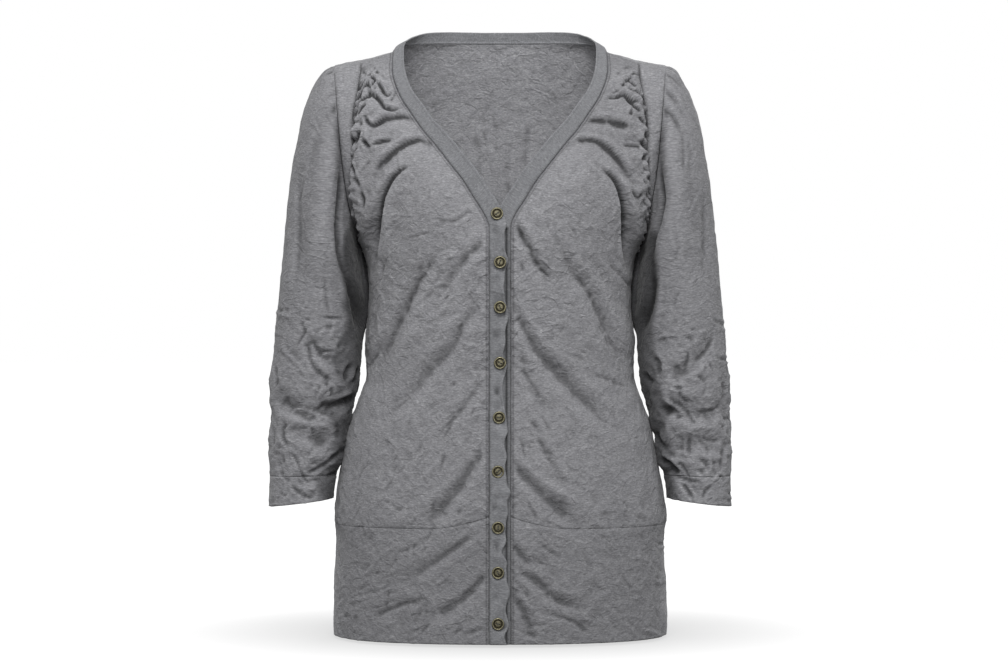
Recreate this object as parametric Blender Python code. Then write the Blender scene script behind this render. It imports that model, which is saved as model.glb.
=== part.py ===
"""Button cardigan, V neck, three-quarter sleeves, worn form with no wearer.

Sizes in the tables are millimetres.  +Z is up, the front faces -Y, the wearer's left is +X.
The origin is level with the high points of the shoulders, midway between them.
Every cloth piece is one wall: an outer face worked out from tables of rows, thickened inwards.
"""
import math
from collections import namedtuple

import bmesh
import bpy
import numpy as np

MM = 0.001

# ---------------------------------------------------------------- driving sizes
CLOTH = 1.3            # wall of the jersey, seam allowances counted in
SEAM = 0.2             # each piece stops this far short of a seam, so pieces sit about 0.4 apart
BACK_TOP_CLEAR = 0.3   # the curved top of the back stops this far short of its seams
STRAP_FOOT_CLEAR = 0.9 # the narrow foot of a strap stops this far short of the side seam
MEETING = 0.6          # edge points this close belong to the same seam
ALIKE = 0.6            # seam edges whose faces turn less than this (cosine) share one direction
MERGE = 0.0001         # metres, closing distance for turned profiles

HEM = -676.0           # height of the hem edge
HIP_SEAM = -549.0      # height of the seam between body and hem band
STRAP_FOOT = -238.0    # height where a front's side seam ends and the strap begins
SIDE_Y = 4.0           # depth of the side seams

PLACKET_SEAM = 12.0    # from the centre line to the seam of each placket
PLACKET_WIDE = 19.0    # finished width of the band at the placket
LAP = 2.0              # how far the buttonhole side rides over the button side
LAP_RUN = 36.0         # width over which the right front rises to the lap

FRONT_POWER = 2.4      # squareness of the front half of a body section
BACK_POWER = 2.2       # squareness of the back half of a body section
RING_STEPS = 28        # stations round an armhole, from the underarm by the front
TIP_STEP = 12          # the station where the shoulder seam meets the armhole
YOKE_STEP = 20         # the station level with the start of the back yoke

GATHER_DEEP = 1.3      # height of the gathers where a front joins its strap
GATHER_RUN = 26.0      # how far the gathers reach into the front
HEAD_GATHER = 1.1      # height of the gathers at a sleeve head
PUCKER_RISE = 14.0     # how far the plackets draw the hip seam up at the centre front
BUST_RISE = 13.0       # fullness of a bust cup
BUST_AT = (76.0, -182.0)
BUST_SIZE = (46.0, 62.0)
BUST_EDGE = 30.0       # the cup fades out over this width beside the placket and the strap
PUCKER_DEEP = 40.0     # height over which the drawn-up hip seam fades
PUCKER_WIDE = 75.0     # width over which it fades
STRAP_BULGE = 0.05     # rise of the middle of a strap, as a share of its width
WIDEST_SHARE = 0.76    # a section is taken no wider than one passing its edge at this share
SHOULDER_ROUND = 0.08  # how much wider a back section is than its armhole width, at least
UNDERARM_STEPS = 8.0   # stations over which that width comes in above the underarm

BUTTON_WIDE = 14.0
BUTTON_DEEP = 2.8
BUTTON_RIM = 2.0
BUTTON_DISH = 0.9
BUTTON_SIDES = 12
BUTTON_CLEAR = 0.3
THREAD_HOLE = 1.9
THREAD_APART = 3.4
HOLE_SIDES = 6

# ---------------------------------------------------------------- tables
Side = namedtuple("Side", "height reach")
SIDE = [
    Side(-676.0, 190.5),
    Side(-661.0, 190.9),
    Side(-638.0, 190.3),
    Side(-615.0, 189.6),
    Side(-592.0, 188.5),
    Side(-569.0, 187.8),
    Side(-557.0, 188.2),
    Side(-546.0, 190.2),
    Side(-534.0, 190.0),
    Side(-523.0, 188.2),
    Side(-500.0, 185.1),
    Side(-477.0, 181.1),
    Side(-454.0, 177.3),
    Side(-431.0, 171.6),
    Side(-419.0, 166.4),
    Side(-408.0, 162.5),
    Side(-397.0, 157.9),
    Side(-385.0, 153.8),
    Side(-374.0, 153.2),
    Side(-339.0, 153.4),
    Side(-316.0, 150.9),
    Side(-293.0, 150.2),
    Side(-276.0, 150.6),
    Side(-259.0, 152.6),
    Side(-241.0, 156.2),
    Side(-230.0, 160.2),
]

Depth = namedtuple("Depth", "height front back")
DEPTH = [
    Depth(-676.0, 120.0, 116.0),
    Depth(-620.0, 118.0, 120.0),
    Depth(-549.0, 116.0, 123.0),
    Depth(-500.0, 115.0, 121.0),
    Depth(-454.0, 111.0, 112.0),
    Depth(-410.0, 106.0, 97.0),
    Depth(-374.0, 103.0, 87.0),
    Depth(-330.0, 107.0, 83.0),
    Depth(-293.0, 112.0, 87.5),
    Depth(-258.0, 117.0, 94.5),
    Depth(-238.0, 121.0, 97.5),
]

# Front above the strap foot, a row for each armhole station: neck edge, strap edge,
# and the depth of the body section the row lies on.
Yoke = namedtuple("Yoke", "neck_x neck_y neck_z strap_x strap_y strap_z deep")
FRONT_YOKE = [
    Yoke(12.0, -117.0, -238.0, 157.1, 4.0, -238.0, 121.0),
    Yoke(12.0, -116.5, -226.0, 158.8, -11.0, -228.0, 121.5),
    Yoke(12.8, -116.0, -211.0, 161.4, -23.0, -216.0, 122.0),
    Yoke(19.0, -115.0, -197.5, 164.6, -34.5, -203.0, 122.0),
    Yoke(29.0, -113.5, -182.0, 168.4, -44.0, -187.0, 121.0),
    Yoke(41.0, -111.5, -162.5, 169.5, -51.0, -168.0, 119.0),
    Yoke(55.3, -108.0, -144.0, 168.6, -56.5, -147.0, 115.0),
    Yoke(72.1, -100.0, -122.3, 167.0, -59.5, -125.0, 108.0),
    Yoke(86.5, -92.0, -104.8, 167.4, -59.5, -102.0, 99.0),
    Yoke(100.6, -80.0, -83.9, 166.2, -56.0, -81.0, 87.0),
    Yoke(112.5, -65.5, -64.5, 162.4, -48.0, -62.0, 70.0),
    Yoke(121.8, -42.0, -38.0, 159.4, -36.0, -42.0, 44.0),
    Yoke(122.5, -14.0, -9.6, 158.5, -22.13, -23.2, 0.0),
]

# Back above the underarm: centre line of the back at armhole stations 28 down to 12.
Spine = namedtuple("Spine", "station y z")
SPINE = [
    Spine(28, 102.4, -230.2),
    Spine(26, 103.6, -218.0),
    Spine(24, 105.4, -190.0),
    Spine(22, 106.2, -149.0),
    Spine(20, 104.6, -104.0),
    Spine(18, 99.5, -66.0),
    Spine(16, 90.0, -28.0),
    Spine(14, 82.5, -2.0),
    Spine(12, 78.0, 9.5),
]

# Top edge of the back: half the back neck, then the shoulder seam out to the armhole.
Edge = namedtuple("Edge", "share x y z")
BACK_TOP = [
    Edge(0.0, 0.0, 78.0, 9.5),
    Edge(1 / 12, 23.0, 77.0, 9.5),
    Edge(2 / 12, 45.0, 74.0, 9.3),
    Edge(3 / 12, 65.0, 68.0, 8.8),
    Edge(4 / 12, 84.0, 58.5, 7.8),
    Edge(5 / 12, 100.0, 46.0, 6.0),
    Edge(6 / 12, 112.0, 28.0, 3.0),
    Edge(7 / 12, 119.5, 8.0, -0.8),
    Edge(8 / 12, 122.5, -14.0, -9.6),
    Edge(1.0, 189.41, -29.1, -34.88),
]

# Neck and placket band, from the hem up one front and round to the centre back.
# The seam edge follows the front and back; this is the free edge beside each station.
Band = namedtuple("Band", "seam_x seam_y seam_z free_x free_y free_z")
NECK_BAND = [
    Band(12.0, -117.0, -238.0, -7.0, -118.4, -238.0),
    Band(12.0, -116.5, -226.0, -7.0, -118.0, -226.0),
    Band(12.8, -116.0, -211.0, -5.5, -117.4, -206.5),
    Band(19.0, -115.0, -197.5, 2.5, -116.6, -186.5),
    Band(29.0, -113.5, -182.0, 13.0, -115.6, -170.5),
    Band(41.0, -111.5, -162.5, 25.5, -114.0, -151.0),
    Band(55.3, -108.0, -144.0, 40.5, -110.8, -132.0),
    Band(72.1, -100.0, -122.3, 58.5, -104.0, -110.0),
    Band(86.5, -92.0, -104.8, 73.5, -96.4, -93.5),
    Band(100.6, -80.0, -83.9, 87.5, -84.4, -73.5),
    Band(112.5, -65.5, -64.5, 99.0, -69.4, -56.5),
    Band(121.8, -42.0, -38.0, 107.4, -44.0, -32.5),
    Band(122.5, -14.0, -9.6, 109.5, -13.0, -2.5),
    Band(119.5, 8.0, -0.8, 105.5, 9.0, 7.0),
    Band(112.0, 28.0, 3.0, 100.0, 26.5, 12.5),
    Band(100.0, 46.0, 6.0, 91.0, 43.0, 17.6),
    Band(84.0, 58.5, 7.8, 78.0, 54.5, 20.6),
    Band(65.0, 68.0, 8.8, 60.5, 63.5, 22.0),
    Band(45.0, 74.0, 9.3, 42.0, 69.0, 22.4),
    Band(23.0, 77.0, 9.5, 21.5, 71.8, 22.4),
    Band(0.0, 78.0, 9.5, 0.0, 72.6, 22.4),
]

# Sleeve sections: outer and inner points in the front view, middle depth at each, how far
# the section reaches to the front and to the back, and how far its lower part bows outwards.
Ring = namedtuple("Ring", "out_x out_z in_x in_z out_y in_y front back bow")
SLEEVE = [
    Ring(190.6, -24.7, 160.5, -230.2, -8.0, 4.0, 50.0, 50.0, 9.0),
    Ring(205.0, -36.0, 162.6, -238.0, -7.0, 3.0, 54.5, 53.0, 6.0),
    Ring(222.5, -70.0, 161.4, -249.0, -6.0, 2.0, 59.5, 58.0, 2.5),
    Ring(233.6, -117.0, 159.0, -262.0, -5.0, 1.0, 62.5, 61.5, 0.0),
    Ring(241.7, -170.0, 156.2, -279.0, -5.0, 0.0, 63.0, 62.0, 0.0),
    Ring(247.6, -229.0, 154.6, -299.0, -5.0, -1.0, 62.0, 61.0, 0.0),
    Ring(253.0, -283.0, 155.6, -320.0, -6.0, -3.0, 60.0, 60.0, 0.0),
    Ring(257.3, -327.0, 158.2, -345.0, -8.0, -5.0, 57.0, 58.0, 0.0),
    Ring(259.6, -353.0, 159.2, -362.0, -9.0, -7.0, 55.0, 56.0, 0.0),
    Ring(262.8, -382.0, 161.0, -384.0, -11.0, -9.0, 54.0, 55.0, 0.0),
    Ring(262.4, -403.0, 165.4, -403.5, -12.0, -11.0, 53.0, 54.0, 0.0),
    Ring(261.0, -419.5, 170.6, -418.5, -13.0, -12.0, 51.0, 52.0, 0.0),
    Ring(263.4, -445.0, 179.2, -442.6, -15.0, -14.0, 48.0, 50.0, 0.0),
    Ring(264.0, -472.0, 183.6, -471.0, -17.0, -16.0, 45.0, 46.0, 0.0),
    Ring(262.9, -494.0, 187.2, -493.0, -18.5, -18.0, 42.5, 43.0, 0.0),
    Ring(264.2, -528.5, 190.6, -519.5, -20.0, -20.0, 41.5, 42.0, 0.0),
]
CUFF_SEAM_ROW = 14

# Largest folds: a soft trough along a path, with a roll beside it.
# Path seen from the front, half width and depth at its start and at its end.
Fold = namedtuple("Fold", "name path wide_start wide_end deep_start deep_end")
FRONT_FOLDS = [
    Fold("right bust side", ((-94, -145), (-113, -152), (-128, -172), (-136, -196), (-141, -224),
                             (-146, -252)), 4, 10, 2, 9.5),
    Fold("right yoke low", ((-74, -124), (-92, -117), (-111, -125), (-128, -139), (-143, -158)),
         5, 7, 3, 5),
    Fold("right yoke mid", ((-94, -97), (-111, -92), (-130, -94), (-148, -103)), 5, 6, 3, 5),
    Fold("right yoke high", ((-110, -78), (-122, -82), (-136, -72), (-148, -57)), 4, 5, 3, 4),
    Fold("right bust", ((-13, -228), (-32, -243), (-49, -262), (-59, -278), (-69, -297)),
         7, 9, 3.5, 1.5),
    Fold("right waist high", ((-59, -234), (-77, -253), (-98, -286), (-117, -325), (-134, -356),
                              (-148, -378)), 9, 12, 2, 6.5),
    Fold("right waist low", ((-16, -293), (-39, -319), (-52, -345), (-77, -372), (-105, -402),
                             (-138, -430)), 9, 12, 4, 4),
    Fold("right hip high", ((-20, -383), (-36, -408), (-53, -430), (-66, -459)), 8, 9, 3, 1.5),
    Fold("right hip low", ((-14, -451), (-31, -480), (-50, -507), (-70, -531), (-84, -552)),
         8, 11, 4, 5),
    Fold("right band high", ((-33, -558), (-66, -581), (-91, -597), (-117, -612)), 8, 10, 3.5, 2.5),
    Fold("right band middle", ((-11, -594), (-33, -618), (-55, -636), (-83, -650)), 8, 10, 4, 2.5),
    Fold("right band low", ((-83, -626), (-117, -636), (-143, -649)), 7, 8, 2, 2.5),
    Fold("left bust side", ((103, -142), (123, -158), (136, -180), (141, -205), (143, -226),
                            (147, -252)), 4, 10, 2, 9.5),
    Fold("left yoke low", ((76, -124), (95, -116), (111, -119), (128, -133), (147, -164)),
         5, 7, 3, 5),
    Fold("left yoke mid", ((95, -97), (119, -95), (150, -101)), 5, 6, 3, 5),
    Fold("left yoke high", ((118, -70), (134, -65), (150, -77)), 4, 5, 2, 4),
    Fold("left bust", ((13, -202), (25, -225), (37, -248), (48, -266), (56, -282)), 7, 9, 4, 2),
    Fold("left waist high", ((62, -225), (78, -259), (98, -284), (115, -315), (129, -344),
                             (148, -373)), 9, 12, 2, 6),
    Fold("left waist low", ((9, -295), (25, -322), (42, -352), (69, -380), (98, -408),
                            (134, -437)), 8, 12, 4, 6),
    Fold("left hip high", ((22, -345), (30, -378), (44, -405), (64, -423)), 8, 9, 2.5, 2),
    Fold("left hip middle", ((33, -422), (44, -453), (59, -483), (73, -508)), 7, 8, 2.5, 2.5),
    Fold("left hip low", ((9, -467), (28, -492), (50, -514), (69, -530), (88, -545)),
         8, 12, 4, 5.5),
    Fold("left band high", ((9, -560), (25, -579), (38, -591)), 7, 8, 4, 1.5),
    Fold("left band middle", ((22, -594), (41, -608), (58, -623), (98, -642)), 8, 10, 3, 3.5),
    Fold("left band low", ((8, -620), (23, -634), (31, -651), (40, -667)), 7, 8, 4, 2.5),
    Fold("left band side", ((50, -640), (83, -652), (102, -666)), 7, 8, 2, 2.5),
]
BACK_FOLDS = [
    Fold("right underarm", ((-150, -252), (-124, -264), (-96, -288)), 9, 12, 4, 1.5),
    Fold("left underarm", ((150, -246), (126, -256), (92, -274)), 9, 12, 4, 1.5),
    Fold("right waist", ((-148, -352), (-110, -338), (-64, -342), (-22, -330)), 9, 12, 5, 1.5),
    Fold("left waist", ((148, -366), (104, -350), (58, -356), (18, -346)), 9, 12, 4.5, 1.5),
    Fold("small of the back", ((-70, -384), (-10, -376), (52, -388)), 10, 10, 3, 2.5),
    Fold("right hip", ((-150, -402), (-104, -428), (-62, -470), (-40, -512)), 10, 12, 5, 2),
    Fold("left hip", ((150, -410), (110, -440), (70, -474), (52, -520)), 10, 12, 4.5, 2),
    Fold("right shoulder blade", ((-128, -120), (-96, -150), (-76, -196)), 10, 12, 1, 3),
    Fold("left shoulder blade", ((126, -112), (98, -146), (82, -190)), 10, 12, 1, 3),
    Fold("right seat", ((-120, -590), (-70, -606), (-26, -640)), 10, 12, 2.5, 2.5),
    Fold("left seat", ((124, -600), (80, -618), (40, -650)), 10, 12, 2.5, 2),
]
SLEEVE_FOLDS = {
    ("right", "front"): [
        Fold("long", ((228, -141), (228, -192), (225, -237), (221, -294)), 8, 9, 2, 2),
        Fold("elbow high", ((218, -335), (202, -353), (180, -367)), 8, 9, 3, 5),
        Fold("elbow", ((254, -396), (238, -413), (213, -420), (193, -412), (174, -400)), 8, 10, 4, 6),
        Fold("forearm", ((240, -440), (212, -446), (190, -462)), 8, 9, 3, 4),
        Fold("cuff", ((188, -478), (213, -491), (236, -506)), 8, 8, 3, 2.5),
    ],
    ("right", "back"): [
        Fold("elbow", ((250, -372), (224, -388), (190, -384)), 9, 10, 4, 4),
        Fold("forearm", ((250, -432), (222, -440), (196, -454)), 9, 10, 4, 3),
        Fold("upper arm", ((226, -210), (214, -262), (196, -306)), 9, 10, 2, 3),
    ],
    ("left", "front"): [
        Fold("long", ((233, -169), (233, -214), (228, -277)), 8, 9, 2, 2),
        Fold("elbow high", ((242, -335), (226, -356), (206, -372), (186, -380)), 8, 9, 2.5, 5),
        Fold("elbow", ((252, -419), (227, -422), (204, -418), (180, -414)), 8, 10, 3, 5.5),
        Fold("forearm", ((246, -452), (220, -456), (192, -466)), 8, 9, 2.5, 4),
        Fold("cuff", ((196, -478), (210, -496), (222, -516)), 8, 8, 3, 3),
    ],
    ("left", "back"): [
        Fold("elbow", ((252, -364), (226, -380), (188, -378)), 9, 10, 4, 4),
        Fold("forearm", ((250, -424), (220, -438), (194, -446)), 9, 10, 4, 3),
        Fold("upper arm", ((230, -204), (216, -256), (198, -300)), 9, 10, 2, 3),
    ],
}
ROLL_SHARE = 0.4       # height of the raised edge beside a trough, as a share of its depth
ROLL_AWAY = 1.7        # distance of the raised edge from the trough, in half widths
ROLL_WIDE = 0.8        # its own half width, in half widths of the trough
FAR_ROLL = 0.6         # height of the roll on the other side, as a share of the first
SEAM_CALM = 12.0       # folds flatten over this distance from a seam

Button = namedtuple("Button", "x z")
BUTTONS = [
    Button(-3.1, -199.5),
    Button(0.2, -252.9),
    Button(0.2, -302.6),
    Button(0.2, -364.5),
    Button(-0.9, -425.2),
    Button(-2.0, -484.9),
    Button(-2.0, -546.8),
    Button(-2.0, -596.5),
    Button(-2.0, -652.8),
]

# ---------------------------------------------------------------- how finely pieces are divided
FRONT_COLUMNS = 16
FRONT_LOWER_ROWS = 19
FRONT_YOKE_STATIONS = [0, 1, 2, 2.5, 3, 3.5, 4, 4.5, 5, 5.5, 6, 6.5, 7, 7.5, 8, 8.5, 9, 9.5,
                       10, 11, 12]
BACK_HALF_COLUMNS = 12
BACK_LOWER_ROWS = 10
BAND_ROWS = 6
SLEEVE_STATIONS = [0, 0.5, 1, 1.6, 2.4, 3.4, 4.5, 5.7, 6.8, 8, 9, 10, 11, 12, 13, 14]
CUFF_ROWS = 3
PLACKET_ROWS = 26
SECTION_FINENESS = 90

Finish = namedtuple("Finish", "name colour roughness metallic")
JERSEY = Finish("heather_jersey", (0.22, 0.22, 0.235, 1.0), 0.92, 0.0)
RIB = Finish("band_jersey", (0.24, 0.24, 0.25, 1.0), 0.92, 0.0)
BRASS = Finish("aged_brass", (0.13, 0.12, 0.075, 1.0), 0.45, 0.8)


# ---------------------------------------------------------------- curves
def through(knots, values, at):
    """Smooth curve through table rows, with slopes averaged at each row."""
    knots = np.asarray(knots, float)
    values = np.asarray(values, float)
    if values.ndim == 1:
        values = values[:, None]
    steps = np.diff(knots)
    slopes = np.diff(values, axis=0) / steps[:, None]
    tangents = np.empty_like(values)
    tangents[0] = slopes[0]
    tangents[-1] = slopes[-1]
    lean = (steps[1:] / (steps[1:] + steps[:-1]))[:, None]
    tangents[1:-1] = lean * slopes[:-1] + (1.0 - lean) * slopes[1:]
    at = np.clip(np.atleast_1d(np.asarray(at, float)), knots[0], knots[-1])
    cell = np.clip(np.searchsorted(knots, at, side="right") - 1, 0, len(steps) - 1)
    width = steps[cell][:, None]
    u = (at - knots[cell])[:, None] / width
    start = (2 * u ** 3 - 3 * u ** 2 + 1) * values[cell]
    start_pull = (u ** 3 - 2 * u ** 2 + u) * width * tangents[cell]
    end = (3 * u ** 2 - 2 * u ** 3) * values[cell + 1]
    end_pull = (u ** 3 - u ** 2) * width * tangents[cell + 1]
    return start + start_pull + end + end_pull


def ease(value):
    """Smooth step from 0 to 1."""
    value = np.clip(value, 0.0, 1.0)
    return value * value * (3.0 - 2.0 * value)


def side_reach(height):
    """Half width of the body at a height."""
    return float(through([row.height for row in SIDE], [row.reach for row in SIDE], height)[0, 0])


def body_depth(height):
    """Front and back reach of the body at a height, at the centre line."""
    rows = [(row.front, row.back) for row in DEPTH]
    return through([row.height for row in DEPTH], rows, height)[0]


def natural_reach(x, away, deep, power):
    """Half width of the section that passes a point this far in front of or behind the sides."""
    share = min(max(away, 0.0) / deep, WIDEST_SHARE) if deep else WIDEST_SHARE
    return x / (1.0 - share ** power) ** (1.0 / power)


def section(start_x, end_x, reach, deep, power, facing):
    """Half section of the body between two distances from the centre line.

    facing is -1 for the front and +1 for the back.
    """
    start = math.asin(min(1.0, (start_x / reach) ** (power / 2)))
    end = math.asin(min(1.0, (end_x / reach) ** (power / 2)))
    angle = np.linspace(start, end, SECTION_FINENESS)
    x = reach * np.sin(angle) ** (2 / power)
    y = SIDE_Y + facing * deep * np.cos(angle) ** (2 / power)
    return x, y


def share_out(points, shares):
    """Points at even shares of the length of a polyline."""
    points = np.asarray(points, float)
    lengths = np.linalg.norm(np.diff(points, axis=0), axis=1)
    walked = np.concatenate([[0.0], np.cumsum(lengths)])
    wanted = np.asarray(shares) * walked[-1]
    return np.stack([np.interp(wanted, walked, points[:, axis]) for axis in range(3)], axis=1)


# ---------------------------------------------------------------- armhole and sleeve form
def sleeve_section(row, turns):
    """Points of a sleeve section, turns in whole turns from the inner point by the front."""
    values = through(range(len(SLEEVE)), SLEEVE, row)[0]
    ring = Ring(*values)
    angle = 2 * math.pi * np.asarray(turns, float)
    inward = (1 + np.cos(angle)) / 2
    x = ring.out_x + (ring.in_x - ring.out_x) * inward
    z = ring.out_z + (ring.in_z - ring.out_z) * inward
    middle = ring.out_y + (ring.in_y - ring.out_y) * inward
    swing = np.sin(angle)
    x = x + ring.bow * swing ** 2 * inward
    y = middle - np.where(swing > 0, ring.front, ring.back) * swing
    return np.stack([x, y, z], axis=1)


ARMHOLE = sleeve_section(0, np.arange(RING_STEPS + 1) / RING_STEPS)


def armhole_at(station):
    """Point on the straight-sided armhole outline, shared by all the pieces that meet there."""
    low = min(int(math.floor(station)), RING_STEPS - 1)
    share = station - low
    return ARMHOLE[low] * (1 - share) + ARMHOLE[low + 1] * share


# ---------------------------------------------------------------- folds
def fold_offset(x, z, folds):
    """Distance the cloth moves outwards at points seen from the front."""
    offset = np.zeros_like(x)
    for fold in folds:
        path = np.asarray(fold.path, float)
        spans = np.linalg.norm(np.diff(path, axis=0), axis=1)
        total = spans.sum()
        walked = 0.0
        nearest = np.full(x.shape, 1e9)
        share = np.zeros_like(x)
        side = np.zeros_like(x)
        for first, second, span in zip(path[:-1], path[1:], spans):
            along = (second - first) / span
            run = np.clip((x - first[0]) * along[0] + (z - first[1]) * along[1], 0, span)
            dx = x - first[0] - run * along[0]
            dz = z - first[1] - run * along[1]
            distance = np.hypot(dx, dz)
            closer = distance < nearest
            nearest = np.where(closer, distance, nearest)
            share = np.where(closer, (walked + run) / total, share)
            side = np.where(closer, along[0] * dz - along[1] * dx, side)
            walked += span
        wide = fold.wide_start + (fold.wide_end - fold.wide_start) * share
        deep = fold.deep_start + (fold.deep_end - fold.deep_start) * share
        deep = deep * ease(0.3 + share / 0.2) * ease(0.2 + (1 - share) / 0.25)
        reach = nearest / wide
        trough = np.exp(-reach ** 2)
        roll = ROLL_SHARE * np.exp(-((reach - ROLL_AWAY) / ROLL_WIDE) ** 2)
        offset += deep * (np.where(side > 0, roll, FAR_ROLL * roll) - trough)
    return offset


def normals(grid):
    """Unit normals of a grid of points, columns crossed with rows."""
    across = np.gradient(grid, axis=1)
    up = np.gradient(grid, axis=0)
    normal = np.cross(across, up)
    return normal / np.maximum(np.linalg.norm(normal, axis=2, keepdims=True), 1e-9)


def trimmed(grid, left, right, bottom, top):
    """Draw the edges of a grid back along its rows and columns, the top edge squarely."""
    out = grid.copy()

    def pull(edge, inner, gap, squarely=False):
        way = inner - edge
        if squarely:
            along = np.gradient(edge, axis=0)
            along /= np.linalg.norm(along, axis=1, keepdims=True)
            way = way - along * (way * along).sum(axis=1, keepdims=True)
        return edge + way * gap / np.linalg.norm(way, axis=1, keepdims=True)

    if left:
        out[:, 0] = pull(out[:, 0], out[:, 1], left)
    if right:
        out[:, -1] = pull(out[:, -1], out[:, -2], right)
    if bottom:
        out[0] = pull(out[0], out[1], bottom)
    if top:
        out[-1] = pull(out[-1], out[-2], top, squarely=True)
    return out


# ---------------------------------------------------------------- making solids
def new_collection(name, cutters=False):
    """Collection under the scene."""
    collection = bpy.data.collections.new(name)
    bpy.context.scene.collection.children.link(collection)
    collection.hide_render = cutters
    return collection


def make_material(finish, name):
    """Principled finish of a piece."""
    material = bpy.data.materials.new(name)
    material.use_nodes = True
    shader = material.node_tree.nodes["Principled BSDF"]
    shader.inputs["Base Color"].default_value = finish.colour
    shader.inputs["Roughness"].default_value = finish.roughness
    shader.inputs["Metallic"].default_value = finish.metallic
    material.diffuse_color = finish.colour
    return material


Panel = namedtuple("Panel", "name grid finish trims tube")


def panel_normals(panel):
    """Unit outward directions of a panel, wrapping round where it is a tube."""
    if not panel.tube:
        return normals(panel.grid)
    wrapped = np.concatenate([panel.grid[:, -2:-1], panel.grid, panel.grid[:, 1:2]], axis=1)
    return normals(wrapped)[:, 1:-1]


def edge_runs(panel):
    """Row and column numbers along each open edge of a panel."""
    rows, columns = panel.grid.shape[:2]
    runs = [[(row, column) for column in range(columns)] for row in (0, rows - 1)]
    if not panel.tube:
        runs += [[(row, column) for row in range(rows)] for column in (0, columns - 1)]
    return runs


def agree_at_seams(panels, directions):
    """Give edges that meet at a seam one common direction through the cloth."""
    pieces = []
    starts = []
    ends = []
    start_ways = []
    end_ways = []
    for index, panel in enumerate(panels):
        for run in edge_runs(panel):
            for first, second in zip(run[:-1], run[1:]):
                pieces.append(index)
                starts.append(panel.grid[first])
                ends.append(panel.grid[second])
                start_ways.append(directions[index][first])
                end_ways.append(directions[index][second])
    pieces = np.array(pieces)
    starts, ends = np.array(starts), np.array(ends)
    start_ways, end_ways = np.array(start_ways), np.array(end_ways)
    spans = ends - starts
    lengths = np.maximum((spans ** 2).sum(axis=1), 1e-9)
    for index, panel in enumerate(panels):
        others = pieces != index
        for place in {place for run in edge_runs(panel) for place in run}:
            spot = panel.grid[place]
            share = np.clip(((spot - starts) * spans).sum(axis=1) / lengths, 0.0, 1.0)
            away = np.linalg.norm(starts + spans * share[:, None] - spot, axis=1)
            own = directions[index][place]
            common = own.copy()
            for other in set(pieces[others & (away < MEETING)]):
                nearest = np.argmin(np.where(pieces == other, away, np.inf))
                way = start_ways[nearest] * (1 - share[nearest]) + end_ways[nearest] * share[nearest]
                if way @ own > ALIKE:
                    common += way
            directions[index][place] = common / np.linalg.norm(common)


def loft_wall(panel, direction, collection):
    """Closed cloth wall lofted from a panel's rows: outer face, inner face and rims."""
    left, right, bottom, top = panel.trims
    outer = trimmed(panel.grid, left, right, bottom, top)
    inner = outer - direction * CLOTH
    rows, columns = outer.shape[:2]
    around = columns - 1 if panel.tube else columns
    points = np.concatenate([outer[:, :around].reshape(-1, 3), inner[:, :around].reshape(-1, 3)])
    under = rows * around

    def spot(row, column):
        return row * around + column % around

    faces = []
    for row in range(rows - 1):
        for column in range(columns - 1):
            near = [spot(row, column), spot(row, column + 1)]
            far = [spot(row + 1, column + 1), spot(row + 1, column)]
            faces.append(near + far)
            faces.append([under + index for index in (near + far)[::-1]])
    for column in range(columns - 1):
        low = (spot(0, column), spot(0, column + 1))
        high = (spot(rows - 1, column + 1), spot(rows - 1, column))
        for first, second in (low, high):
            faces.append([second, first, under + first, under + second])
    if not panel.tube:
        for row in range(rows - 1):
            outside = (spot(row, columns - 1), spot(row + 1, columns - 1))
            inside = (spot(row + 1, 0), spot(row, 0))
            for first, second in (outside, inside):
                faces.append([second, first, under + first, under + second])
    mesh = bpy.data.meshes.new(panel.name)
    mesh.from_pydata((points * MM).tolist(), [], faces)
    piece = bpy.data.objects.new(panel.name, mesh)
    piece.data.materials.append(make_material(panel.finish, panel.name + "_cloth"))
    collection.objects.link(piece)
    return piece


# ---------------------------------------------------------------- body pieces
def lap_rise(x):
    """Rise of the right front and its placket over the button side."""
    return LAP * ease((x + LAP_RUN + PLACKET_SEAM) / LAP_RUN)


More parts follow.
